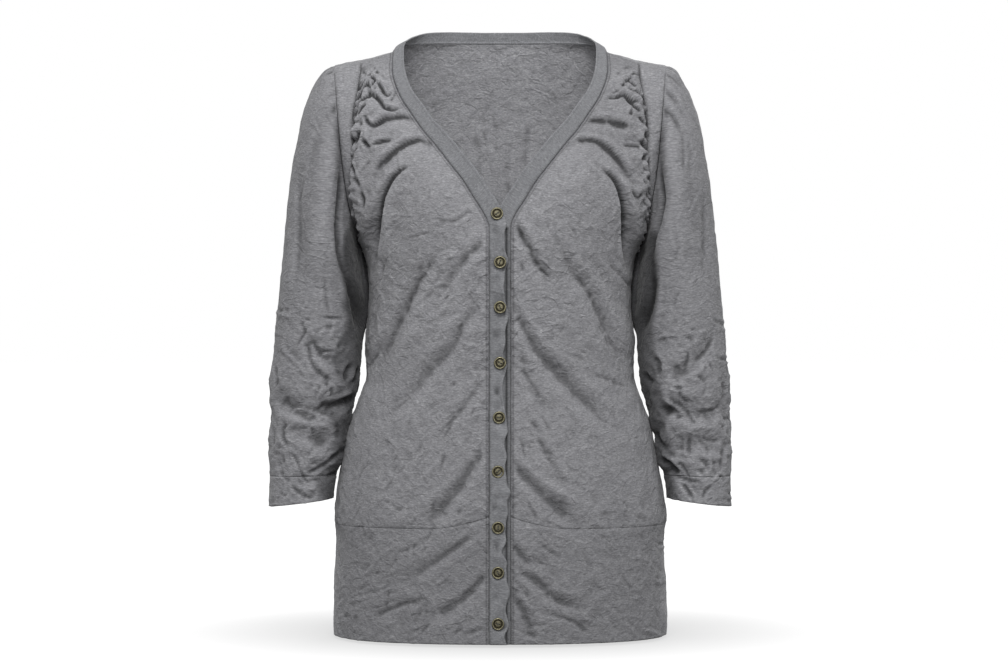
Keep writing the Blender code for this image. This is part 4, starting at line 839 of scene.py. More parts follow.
@dataclass(frozen=True)
class Gathers:
    """Uneven puckers beside a gathered seam, the same each time for a seed."""

    span: tuple[float, float]           # where they lie along the seam, mm
    pitch: float                        # usual distance between puckers
    deep: tuple[float, float]
    reach: tuple[float, float]          # how far they run from the seam
    slant: float                        # drift along the seam for each mm away from it
    seed: int

    def relief(self, along: np.ndarray, away: np.ndarray) -> np.ndarray:
        """Height of the puckers.

        Args:
            along: Distance along the seam of each point, mm.
            away: Distance from the seam of each point, mm.

        Returns:
            Height at each point, mm.
        """
        rng = np.random.default_rng(self.seed)
        total = np.zeros_like(along)
        place = self.span[0] + rng.uniform(0, self.pitch)
        while place < self.span[1]:
            deep = rng.uniform(*self.deep)
            reach = rng.uniform(*self.reach)
            wide = self.pitch * rng.uniform(0.24, 0.38)
            slant = self.slant + rng.normal(0, 0.6)
            curl = rng.normal(0, 0.012)
            line = along - place - slant * away - curl * away ** 2
            fade = ease(away / 2.5 + 0.25) * ease(1.15 - away / reach)
            total -= deep * fade * bell(line / wide)
            rise = line - self.pitch * rng.uniform(0.4, 0.6)
            total += 0.7 * deep * fade * bell(rise / wide)
            place += self.pitch * rng.uniform(0.65, 1.45)
        return total


# Puckers along the gathered edge at each strap, and along the seam of the band.
STRAP_PUCKERS = (Gathers((-6.0, 205.0), 9.0, (1.4, 3.4), (9.0, 26.0), 0.5, 61),
                 Gathers((-6.0, 205.0), 5.6, (0.5, 1.7), (4.0, 12.0), 0.9, 63))
BAND_PUCKERS = Gathers((0.0, 480.0), 7.5, (0.2, 1.1), (5.0, 20.0), 0.5, 71)


def wrinkles(points: np.ndarray, size: float, seed: int, level: float = 0.35) -> np.ndarray:
    """Sharp winding crests of crumpled cloth, from a lattice noise of a size and a seed."""
    return level - np.abs(lattice_noise(points, size, seed))


def crinkle(points: np.ndarray, seed: int, strength: float = 1.0) -> np.ndarray:
    """Fine crumpling of washed jersey: soft dents, sharp short lines and small ripples.

    Args:
        points: Places on the cloth, mm.
        seed: Which crumpling.
        strength: Share of the usual height.

    Returns:
        Height at each point, mm.
    """
    soft = lattice_noise(points, 42.0, seed)
    lines = 1.1 * wrinkles(points, 17.0, seed + 1, 0.5)
    small = 0.6 * wrinkles(points, 8.0, seed + 2, 0.5)
    return strength * (soft + lines + small)


def blurred(height: np.ndarray, sigma: tuple[float, float], tube: bool) -> np.ndarray:
    """Height smoothed over rows and columns, wrapped on a tube.

    Args:
        height: Rows and columns of heights.
        sigma: Width of the smoothing in rows and in columns.
        tube: True if the last column is the first one again.

    Returns:
        The smoothed heights.
    """
    out = height
    for axis, width in enumerate(sigma):
        reach = max(1, math.ceil(2.5 * width))
        weights = np.exp(-0.5 * (np.arange(-reach, reach + 1) / width) ** 2)
        weights /= weights.sum()
        out = np.moveaxis(out, axis, 0)
        if tube and axis == 1:
            around = len(out) - 1
            index = np.arange(-reach, len(out) + reach) % around
            padded = out[index]
        else:
            padded = np.concatenate([out[:1]] * reach + [out] + [out[-1:]] * reach)
        out = sum(weight * padded[at:at + len(out)] for at, weight in enumerate(weights))
        out = np.moveaxis(out, 0, axis)
    return out


def painted_fold_shading(height: np.ndarray, step: tuple[float, float], tube: bool = False,
               pit: np.ndarray | float = PIT) -> np.ndarray:
    """Painted light and shade of the cloth: painted highlights lift crests a little above 1, painted
    shade takes pits of folds far below.

    Args:
        height: Height of the relief, mm.
        step: Spacing of the rows and of the columns, mm.
        tube: True if the last column is the first one again.
        pit: How low the cloth has to lie to be as dark as it gets.

    Returns:
        A factor for each point.
    """
    proud = sum((height - blurred(height, (reach / step[0], reach / step[1]), tube)) / tall
                for reach, tall in CREST_SCALES)
    proud = np.clip(proud, pit, 1.0)
    low = np.minimum(proud, 0)
    return 1 + CREST_PAINTED_HIGHLIGHT * np.maximum(proud, 0) + PIT_SLOPE * low - PIT_CURVE * low ** 2


def groove(away: np.ndarray, deep: float, wide: float) -> np.ndarray:
    """Height of a shallow line pressed along a seam, with its depth and its half width."""
    return -deep * bell(away / wide)


def shaded(away: np.ndarray, share: np.ndarray | float, wide: float) -> np.ndarray:
    """Share of its brightness that the cloth keeps beside a line of shade."""
    return 1 - share * bell(away / wide)


# ---------------------------------------------------------------- building meshes
class Hand(Enum):
    """The wearer's sides, with the sign of x on each."""

    RIGHT = -1
    LEFT = 1

    @property
    def word(self) -> str:
        """The side's name in lower case."""
        return self.name.lower()


def to_object(name: str, work: bmesh.types.BMesh) -> bpy.types.Object:
    """Object in the scene from a bmesh, which is freed."""
    mesh = bpy.data.meshes.new(name)
    work.to_mesh(mesh)
    work.free()
    made = bpy.data.objects.new(name, mesh)
    bpy.context.scene.collection.objects.link(made)
    return made


# A panel of cloth: rows and columns of points of its outer face in mm, the place of each on the
# flat cloth across and along the grain in mm, and a factor for the brightness of each, which is
# painted light and shade.
Panel = tuple[np.ndarray, np.ndarray, np.ndarray]


def cloth(name: str, panel: Panel, wall: float, tube: bool = False) -> bpy.types.Object:
    """Thin cloth wall with its outer face on a panel's points.

    Args:
        name: Name of the piece.
        panel: The panel.
        wall: Thickness, mm, taken inwards.
        tube: True if the last column is the first one again.

    Returns:
        The piece, with its place in its mesh and a UV map in metres.
    """
    grid, weave, tone = panel
    rows, columns = grid.shape[:2]
    work = bmesh.new()
    bmesh.ops.create_grid(work, x_segments=columns - 1, y_segments=rows - 1, size=1.0)
    made = to_object(name, work)
    mesh = made.data
    flat = np.empty(len(mesh.vertices) * 3, np.float32)
    mesh.vertices.foreach_get("co", flat)
    flat = flat.reshape(-1, 3)
    column = np.rint((flat[:, 0] + 1) / 2 * (columns - 1)).astype(int)
    row = np.rint((flat[:, 1] + 1) / 2 * (rows - 1)).astype(int)
    mesh.vertices.foreach_set("co", (grid[row, column] * MM).astype(np.float32).ravel())
    corner = np.empty(len(mesh.loops), np.int32)
    mesh.loops.foreach_get("vertex_index", corner)
    layer = mesh.uv_layers.new(name="grain")
    places = (weave[row, column] * MM)[corner]
    layer.data.foreach_set("uv", places.astype(np.float32).ravel())
    # The panel's factor of painted light and shade is kept on the points for the material.
    painted_light_and_shade = mesh.attributes.new("painted_light_and_shade", "FLOAT", "POINT")
    painted_light_and_shade.data.foreach_set("value", tone[row, column].astype(np.float32))
    if tube:
        work = bmesh.new()
        work.from_mesh(mesh)
        bmesh.ops.remove_doubles(work, verts=work.verts[:], dist=1e-6)
        work.to_mesh(mesh)
        work.free()
    mesh.shade_smooth()
    mesh.update()
    solid = made.modifiers.new("wall", "SOLIDIFY")
    solid.thickness = wall * MM
    solid.offset = -1.0
    solid.use_rim = True
    return made


def edge_distances(grid: np.ndarray) -> tuple[np.ndarray, np.ndarray]:
    """Distance of each point from the first and from the last column, along its row."""
    steps = np.linalg.norm(np.diff(grid, axis=1), axis=2)
    first = np.concatenate([np.zeros((len(grid), 1)), np.cumsum(steps, axis=1)], axis=1)
    return first, first[:, -1:] - first


def grain_places(grid: np.ndarray) -> np.ndarray:
    """Place of each point on the flat cloth: across from the centre line and up the grain, mm."""
    across = edge_distances(grid[:, :, :2])[0]
    nearest = np.abs(grid[..., 0]).argmin(axis=1)
    rows = np.arange(len(grid))
    across = across - across[rows, nearest][:, None] + grid[rows, nearest, 0][:, None]
    return np.stack([across, grid[:, :, 2]], axis=2)


def with_edges(panel: Panel, ends: Sequence[np.ndarray]) -> Panel:
    """A panel with one more column at each side, woven and toned as the column beside it.

    Args:
        panel: The panel.
        ends: Points of the new first column and of the new last one.

    Returns:
        The wider panel.
    """
    grid, weave, tone = (np.concatenate([values[:, :1], values, values[:, -1:]], axis=1)
                         for values in panel)
    grid[:, 0], grid[:, -1] = ends
    return grid, weave, tone


# ---------------------------------------------------------------- form of the body
def natural_reach(x: float, away: float, deep: float, power: float) -> float:
    """Half width of the section that passes a point this far in front of or behind the sides."""
    share = min(max(away, 0.0) / deep, WIDEST_SHARE) if deep else WIDEST_SHARE
    return x / (1.0 - share ** power) ** (1.0 / power)


def section(start_x: float, end_x: float, reach: float, deep: float, power: float,
            facing: int) -> tuple[np.ndarray, np.ndarray]:
    """Half section of the body between two distances from the centre line.

    Args:
        start_x: First distance from the centre line.
        end_x: Last distance from the centre line.
        reach: Half width of the whole section.
        deep: Reach in front of or behind the sides.
        power: Squareness of the section.
        facing: -1 for the front, 1 for the back.

    Returns:
        The x and the y of points along it.
    """
    start = math.asin(min(1.0, (start_x / reach) ** (power / 2)))
    end = math.asin(min(1.0, (end_x / reach) ** (power / 2)))
    angle = np.linspace(start, end, SECTION_FINENESS)
    x = reach * np.sin(angle) ** (2 / power)
    y = SIDE_Y + facing * deep * np.cos(angle) ** (2 / power)
    return x, y


def lap_rise(x: np.ndarray) -> np.ndarray:
    """Rise of the right front and its placket over the button side."""
    return LAP * ease((x + LAP_RUN + PLACKET_SEAM) / LAP_RUN)


@dataclass(frozen=True)
class Row:
    """A row of a body piece: a height below the underarm, or an armhole station above it."""

    place: float
    station: bool = False


def row_places(rows: Sequence[Row]) -> tuple[np.ndarray, np.ndarray]:
    """Place of each row and whether it is a station, both as a column."""
    return (np.array([row.place for row in rows])[:, None],
            np.array([row.station for row in rows])[:, None])


def body_rows(top: float, step: float, stations: np.ndarray) -> list[Row]:
    """Rows of a front or of the back, from the hip seam up.

    Args:
        top: Height of the underarm.
        step: Spacing of the rows below it, mm.
        stations: Armhole stations of the rows above it.

    Returns:
        The rows.
    """
    heights = np.linspace(HIP_SEAM, top, round((top - HIP_SEAM) / step) + 1)[1:-1]
    rows = [Row(float(height)) for height in np.concatenate([HIP_SEAM + SEAM_ROWS, heights])]
    return rows + [Row(float(place), True) for place in stations]


def hem_rows(step: float) -> list[Row]:
    """Rows of a hem band, from the hem up to the hip seam."""
    heights = np.linspace(HEM, HIP_SEAM, round((HIP_SEAM - HEM) / step) + 1)[:-1]
    return [Row(float(height)) for height in np.concatenate([heights, HIP_SEAM - SEAM_ROWS[::-1]])]


def front_form(hand: Hand, rows: Sequence[Row], shares: np.ndarray) -> np.ndarray:
    """Smooth outer face of a front or of its hem band, columns from -X to +X."""
    grid = []
    for row in rows:
        if row.station:
            values = through(range(len(FRONT_YOKE)), FRONT_YOKE, row.place)[0]
            start, end, deep = values[:3], values[3:6], values[6]
            reach = natural_reach(end[0], SIDE_Y - end[1], deep, FRONT_POWER)
        else:
            reach = through(SIDE[:, 0], SIDE[:, 1], row.place)[0, 0]
            deep = through(DEPTH[:, 0], DEPTH[:, 1], row.place)[0, 0]
            start = np.array([PLACKET_SEAM, SIDE_Y - deep, row.place])
            end = np.array([reach, SIDE_Y, row.place])
        x, y = section(start[0], end[0], reach, deep, FRONT_POWER, -1)
        run = (x - start[0]) / (end[0] - start[0])
        y = y + (1 - run) * (start[1] - y[0]) + run * (end[1] - y[-1])
        z = start[2] + (end[2] - start[2]) * run
        fade = ease((x - start[0]) / BUST_EDGE) * ease((end[0] - x) / BUST_EDGE)
        rise = BUST_RISE * bell((x - BUST_AT[0]) / BUST_SIZE[0])
        y = y - fade * rise * bell((z - BUST_AT[1]) / BUST_SIZE[1])
        if not row.station:
            near = bell((row.place - HIP_SEAM) / PUCKER_DEEP)
            z = z + PUCKER_RISE * near * np.clip(1 - (x - PLACKET_SEAM) / PUCKER_WIDE, 0, 1) ** 2
        grid.append(share_out(np.stack([x, y, z], axis=1), shares))
    made = np.array(grid)
    first, last = edge_distances(made)
    near = bell((made[:, :, 2] - STRAP_FOOT) / JOIN_TALL)
    near = near * ease(first / SEAM_CALM) * ease(last / SEAM_CALM)
    made += (blurred(made, (JOIN_ROWS, 0.01), False) - made) * near[:, :, None]
    made[:, :, 0] *= hand.value
    return made[:, ::-1] if hand is Hand.RIGHT else made


def sleeve_section(row: float, turns: np.ndarray) -> np.ndarray:
    """Points of a sleeve section, turns in whole turns from the inner point by the front."""
    out_x, out_z, in_x, in_z, out_y, in_y, front, back, bow = \
        through(range(len(SLEEVE)), SLEEVE, row)[0]
    angle = 2 * math.pi * np.asarray(turns, float)
    inward = (1 + np.cos(angle)) / 2
    swing = np.sin(angle)
    x = out_x + (in_x - out_x) * inward + bow * swing ** 2 * inward
    z = out_z + (in_z - out_z) * inward
    y = out_y + (in_y - out_y) * inward - np.where(swing > 0, front, back) * swing
    return np.stack([x, y, z], axis=1)


def armhole_at(station: float) -> np.ndarray:
    """Point on the armhole at a station."""
    return sleeve_section(0.0, np.array([station / RING_STEPS]))[0]


def back_form(rows: Sequence[Row], shares: np.ndarray) -> np.ndarray:
    """Smooth outer face of the whole back, columns from +X to -X."""
    neck = through(BACK_TOP[:-1, 0], BACK_TOP[:-1, 1:], shares)
    shoulder = np.stack([np.interp(shares, BACK_TOP[-2:, 0], BACK_TOP[-2:, axis])
                         for axis in (1, 2, 3)], axis=1)
    edge = np.where(shares[:, None] > BACK_TOP[-2, 0], shoulder, neck)
    tip, middle = BACK_TOP[-1], BACK_TOP[0]
    top_x = edge[:, 0] / tip[1]
    top_y = (edge[:, 1] - tip[2]) / (middle[2] - tip[2])
    top_z = (edge[:, 2] - tip[3]) / (middle[3] - tip[3])
    grid = []
    for row in rows:
        if row.station:
            end = armhole_at(row.place)
            spine_y, spine_z = through(SPINE[:, 0], SPINE[:, 1:], row.place)[0]
            fuller = end[0] * (1 + SHOULDER_ROUND * ease((RING_STEPS - row.place) / UNDERARM_STEPS))
            wide = max(fuller, natural_reach(end[0], end[1] - SIDE_Y, spine_y - SIDE_Y, BACK_POWER))
            blend = float(np.clip((YOKE_STEP - row.place) / (YOKE_STEP - TIP_STEP), 0.0, 1.0))
        else:
            wide = through(SIDE[:, 0], SIDE[:, 1], row.place)[0, 0]
            end = np.array([wide, SIDE_Y, row.place])
            spine_y = SIDE_Y + through(DEPTH[:, 0], DEPTH[:, 2], row.place)[0, 0]
            spine_z, blend = row.place, 0.0
        x, y = section(0.0, end[0], wide, spine_y - SIDE_Y, BACK_POWER, 1)
        y = y + (x / end[0]) ** 2 * (end[1] - y[-1])
        line = share_out(np.stack([x, y, 0 * x], axis=1), shares)
        flat = line[:, 0] / end[0]
        deep = (line[:, 1] - end[1]) / (spine_y - end[1])
        flat = flat + (top_x - flat) * ease(blend)
        deep = deep + (top_y - deep) * (1 - math.cos(blend * math.pi / 2))
        grid.append(np.stack([end[0] * flat, end[1] + (spine_y - end[1]) * deep,
                              end[2] + (spine_z - end[2]) * top_z], axis=1))
    half = np.array(grid)
    other = half[:, 1:] * np.array([-1.0, 1.0, 1.0])
    return np.concatenate([half[:, ::-1], other], axis=1)


def band_form(hand: Hand, step: float, columns: int) -> np.ndarray:
    """Half of the neckband and placket, from the hem to the centre back.

    Args:
        hand: Which half.
        step: Spacing of the rows, mm.
        columns: How many points across, seam edge first.

    Returns:
        Rows and columns of points, mm.
    """
    heights = np.linspace(HEM, STRAP_FOOT, round((STRAP_FOOT - HEM) / step) + 1)[:-1]
    deep = SIDE_Y - through(DEPTH[:, 0], DEPTH[:, 1], heights)[:, 0]
    flat = np.ones_like(heights)
    low = np.stack([PLACKET_SEAM * flat, deep, heights,
                    (PLACKET_SEAM - PLACKET_WIDE) * flat, deep - 1.0, heights], axis=1)
    dense = through(range(len(NECK_BAND)), NECK_BAND, np.linspace(0, len(NECK_BAND) - 1, 800))
    along = walked(dense[:, :3])
    wanted = np.linspace(0, along[-1], round(along[-1] / step) + 1)
    high = np.stack([np.interp(wanted, along, dense[:, axis]) for axis in range(6)], axis=1)
    rows = np.concatenate([low, high])
    share = np.linspace(0, 1, columns)[None, :, None]
    strip = rows[:, None, :3] * (1 - share) + rows[:, None, 3:] * share
    strip[:, :, 0] *= hand.value
    if hand is Hand.RIGHT:
        strip[:, :, 1] -= lap_rise(strip[:, :, 0]) * (strip[:, :, 1] < 0)
    return strip


# ---------------------------------------------------------------- materials
def linear(code: str) -> tuple[float, float, float, float]:
    """Linear colour from an sRGB hex code."""
    parts = [int(code[at:at + 2], 16) / 255 for at in (1, 3, 5)]
    made = [part / 12.92 if part <= 0.04045 else ((part + 0.055) / 1.055) ** 2.4
            for part in parts]
    return made[0], made[1], made[2], 1.0


def add_node(tree: bpy.types.NodeTree, kind: str, settings: dict | None = None,
             inputs: dict | None = None) -> bpy.types.Node:
    """Adds a node with its settings and links.

    Args:
        tree: The node tree.
        kind: Blender's name for the node type, without ShaderNode.
        settings: Properties of the node.
        inputs: For each input, by name or number, a value or the socket that feeds it.

    Returns:
        The node.
    """
    node = tree.nodes.new("ShaderNode" + kind)
    for key, value in (settings or {}).items():
        setattr(node, key, value)
    for key, value in (inputs or {}).items():
        if isinstance(value, bpy.types.NodeSocket):
            tree.links.new(value, node.inputs[key])
        else:
            node.inputs[key].default_value = value
    return node


def new_material(name: str) -> tuple[bpy.types.Material, bpy.types.NodeTree]:
    """Empty node material with an output."""
    material = bpy.data.materials.new(name)
    material.use_nodes = True
    material.node_tree.nodes.clear()
    return material, material.node_tree


@dataclass(frozen=True)
class HeatherJersey:
    """Viscose and cotton single jersey, knitted from melange yarn.

    Dark and pale fibres are spun into one yarn, so the cloth shows short streaks along its
    courses; it is matt with a faint nap.  Its colour is scaled by painted light and shade:
    painted highlights on the crests of its creases, painted shade in the pits of its folds.
    """

    name: str
    dark: str = "#5e5e61"
    shade: str = "#7f7f82"
    light: str = "#a4a4a6"
    contrast: float = 0.82
    streak_long: float = 7.0            # mm, a streak of one fibre colour
    streak_tall: float = 1.5            # mm, two courses, drawn double so that it shows
    fibre: tuple[float, float] = (2.6, 0.9)         # mm, a tuft of one fibre
    cloud: tuple[float, float] = (38.0, 16.0)       # mm, patches where the dye took unevenly
    dent: tuple[float, float] = (12.0, 8.5)         # mm, soft dents of washed cloth
    dent_tall: float = 1.9                          # in heights of the finest creases
    wale: float = 1.1                   # mm, a column of loops is half this, drawn double
    crumple: float = 0.8                # mm, height of the finest creases
    # lines of fine creases: mm between them, half width, shift, share of that height
    lines: tuple[tuple[float, float, float, float], ...] = (
        (30.0, 0.06, 11.0, 0.45), (17.0, 0.1, 37.0, 0.4), (13.0, 0.12, 53.0, -0.4))
    turned: bool = False                # streaks run along the piece, not across

    def make(self) -> bpy.types.Material:
        """The material."""
        material, tree = new_material(self.name)
        grain = add_node(tree, "UVMap", {"uv_map": "grain"})
        turn = math.pi / 2 if self.turned else 0.0

        def noise(across: float, along: float, detail: float, shift: float,
                  distortion: float = 0.25) -> bpy.types.NodeSocket:
            """Noise with dents of the given sizes in mm."""
            mapping = add_node(tree, "Mapping", {"vector_type": "POINT"}, {
                "Vector": grain.outputs["UV"], "Rotation": (0.0, 0.0, turn),
                "Scale": (1 / (across * MM), 1 / (along * MM), 1.0),
                "Location": (shift, shift * 0.7, 0.0)})
            made = add_node(tree, "TexNoise", {"noise_dimensions": "2D"}, {
                "Vector": mapping.outputs["Vector"], "Scale": 1.0, "Detail": detail,
                "Roughness": 0.6, "Distortion": distortion})
            return made.outputs["Fac"]

        def fine_creases(size: float, wide: float, shift: float) -> bpy.types.NodeSocket:
            """Thin winding lines, broken into short pieces, 1 on a line and 0 beside it."""
            away = add_node(tree, "Math", {"operation": "SUBTRACT"}, {
                0: noise(size, size, 0.0, shift, 0.4), 1: 0.5})
            away = add_node(tree, "Math", {"operation": "ABSOLUTE"},
                            {0: away.outputs[0]})
            line = add_node(tree, "MapRange", {"interpolation_type": "SMOOTHSTEP"}, {
                "Value": away.outputs[0], "From Max": wide, "To Min": 1.0, "To Max": 0.0})
            patch = add_node(tree, "MapRange", {"interpolation_type": "SMOOTHSTEP"}, {
                "Value": noise(size * 1.3, size * 1.3, 0.0, shift + 5.0), "From Min": 0.45,
                "From Max": 0.6})
            both = add_node(tree, "Math", {"operation": "MULTIPLY"}, {
                0: line.outputs[0], 1: patch.outputs[0]})
            return both.outputs[0]

        streak = noise(self.streak_long, self.streak_tall, 2.0, 3.0)
        pale = noise(self.streak_long * 0.6, self.streak_tall * 0.8, 2.0, 41.0)
        fibre = noise(*self.fibre, 1.0, 17.0)
        cloud = noise(*self.cloud, 2.0, 71.0)
        total: bpy.types.NodeSocket | None = None
        for source, weight in ((streak, 0.55), (pale, 0.45), (fibre, 0.6), (cloud, 0.2)):
            part = add_node(tree, "Math", {"operation": "MULTIPLY_ADD"}, {
                0: source, 1: weight * self.contrast, 2: -0.5 * weight * self.contrast})
            if total is None:
                total = part.outputs[0]
            else:
                both = add_node(tree, "Math", {"operation": "ADD"},
                                {0: total, 1: part.outputs[0]})
                total = both.outputs[0]
        middle = add_node(tree, "Math", {"operation": "ADD"}, {0: total, 1: 0.5})
        ramp = add_node(tree, "ValToRGB", None, {"Fac": middle.outputs[0]})
        stops = ramp.color_ramp.elements
        stops[0].position, stops[0].color = 0.12, linear(self.dark)
        stops[1].position, stops[1].color = 0.88, linear(self.light)
        centre = stops.new(0.5)
        centre.color = linear(self.shade)
        # Painted light and shade: the yarn's colour is scaled by the factor kept on the points, paler
        # on crests, darker in pits and hollows.
        painted_light_and_shade = add_node(tree, "Attribute", {"attribute_name": "painted_light_and_shade"})
        colour = add_node(tree, "VectorMath", {"operation": "SCALE"}, {
            0: ramp.outputs["Color"], "Scale": painted_light_and_shade.outputs["Fac"]})
        wale = add_node(tree, "Mapping", {"vector_type": "POINT"}, {
            "Vector": grain.outputs["UV"], "Rotation": (0.0, 0.0, turn),
            "Scale": (1 / (self.wale * MM), 1 / (self.wale * MM), 1.0)})
        loops = add_node(tree, "TexWave", {"wave_type": "BANDS",
                                                     "bands_direction": "X"}, {
            "Vector": wale.outputs["Vector"], "Scale": 1 / math.tau * 2, "Distortion": 0.6,
            "Detail": 1.0, "Detail Scale": 1.0})
        height = add_node(tree, "Math", {"operation": "MULTIPLY_ADD"}, {
            0: loops.outputs["Fac"], 1: 0.12, 2: total})
        yarn = add_node(tree, "Bump", None, {
            "Height": height.outputs[0], "Strength": 0.4, "Distance": 0.0004})
        soft = add_node(tree, "Math", {"operation": "MULTIPLY"}, {
            0: noise(*self.dent, 2.0, 61.0, 0.7), 1: self.dent_tall})
        crumple = soft.outputs[0]
        for size, wide, shift, weight in self.lines:
            part = add_node(tree, "Math", {"operation": "MULTIPLY_ADD"}, {
                0: fine_creases(size, wide, shift), 1: weight, 2: crumple})
            crumple = part.outputs[0]
        bump = add_node(tree, "Bump", None, {
            "Height": crumple, "Strength": 1.0, "Distance": self.crumple * MM,
            "Normal": yarn.outputs["Normal"]})
        shader = add_node(tree, "BsdfPrincipled", None, {
            "Base Color": colour.outputs[0], "Roughness": 0.92, "Specular IOR Level": 0.25,
            "Sheen Weight": 0.12, "Sheen Roughness": 0.5, "Normal": bump.outputs["Normal"]})
        add_node(tree, "OutputMaterial", None, {"Surface": shader.outputs["BSDF"]})
        return material


@dataclass(frozen=True)
class AgedBrass:
    """Die-cast brass with a dark antique finish, rubbed brighter on its raised edges."""

    name: str = "aged_brass"
    dark: str = "#3b3729"
    bright: str = "#87826b"
    grain: float = 1 / 0.9              # mm, spots of the casting's skin

    def make(self) -> bpy.types.Material:
        """The material."""
        material, tree = new_material(self.name)
        worn = add_node(tree, "Attribute", {"attribute_name": "rubbed"})
        place = add_node(tree, "TexCoord")
        spots = add_node(tree, "TexNoise", None, {
            "Vector": place.outputs["Object"], "Scale": 1 / (self.grain * MM), "Detail": 3.0})
        patch = add_node(tree, "Math", {"operation": "MULTIPLY_ADD"}, {
            0: spots.outputs["Fac"], 1: 0.7, 2: -0.35})
        amount = add_node(tree, "Math", {"operation": "ADD", "use_clamp": True}, {
            0: worn.outputs["Fac"], 1: patch.outputs[0]})
        colour = add_node(tree, "Mix", {"data_type": "RGBA"}, {
            0: amount.outputs[0], 6: linear(self.dark), 7: linear(self.bright)})
        rough = add_node(tree, "Math", {"operation": "MULTIPLY_ADD"}, {
            0: amount.outputs[0], 1: -0.2, 2: 0.55})
        bump = add_node(tree, "Bump", None, {
            "Height": spots.outputs["Fac"], "Strength": 0.3, "Distance": 0.0002})
        shader = add_node(tree, "BsdfPrincipled", None, {
            "Base Color": colour.outputs[2], "Metallic": 0.8, "Roughness": rough.outputs[0],
            "Normal": bump.outputs["Normal"]})
        add_node(tree, "OutputMaterial", None, {"Surface": shader.outputs["BSDF"]})
        return material


@dataclass(frozen=True)
class SpunThread:
    """Spun polyester sewing thread, two plies twisted, matt."""

    name: str
    shade: str
    twist: float = 0.4                  # mm along one turn of the plies

    def make(self) -> bpy.types.Material:
        """The material."""
        material, tree = new_material(self.name)
        place = add_node(tree, "TexCoord")
        twist = add_node(tree, "TexNoise", None, {
            "Vector": place.outputs["Object"], "Scale": 1 / (self.twist * MM), "Detail": 1.0})
        tone = add_node(tree, "Math", {"operation": "MULTIPLY_ADD"}, {
            0: twist.outputs["Fac"], 1: 0.5, 2: 0.75})
        shader = add_node(tree, "BsdfPrincipled", None, {
            "Roughness": 0.8, "Specular IOR Level": 0.3})
        colour = add_node(tree, "VectorMath", {"operation": "SCALE"}, {
            0: linear(self.shade)[:3], "Scale": tone.outputs[0]})
        tree.links.new(colour.outputs[0], shader.inputs["Base Color"])
        add_node(tree, "OutputMaterial", None, {"Surface": shader.outputs["BSDF"]})
        return material


@dataclass
class Finishes:
    """The finishes of the whole cardigan, made once."""

    jersey: bpy.types.Material = field(
        default_factory=lambda: HeatherJersey("heather_jersey").make())
    band: bpy.types.Material = field(default_factory=lambda: HeatherJersey(
        "band_jersey", dark="#565658", shade="#747578", light="#969698", contrast=0.7, crumple=0.4,
        turned=True).make())
    brass: bpy.types.Material = field(default_factory=lambda: AgedBrass().make())
    thread: bpy.types.Material = field(
        default_factory=lambda: SpunThread("spun_thread", "#6a6a70").make())
    button_thread: bpy.types.Material = field(
        default_factory=lambda: SpunThread("button_thread", "#4c4a40").make())


def dress(piece: bpy.types.Object, material: bpy.types.Material, node: str | None = None) -> None:
    """Gives a piece its finish and ties it to the frame.

    Args:
        piece: The piece.
        material: Its finish.
        node: Solid that it stands for.
    """
    piece.data.materials.append(material)
    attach(piece, "root")
    if node:
        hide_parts(node)


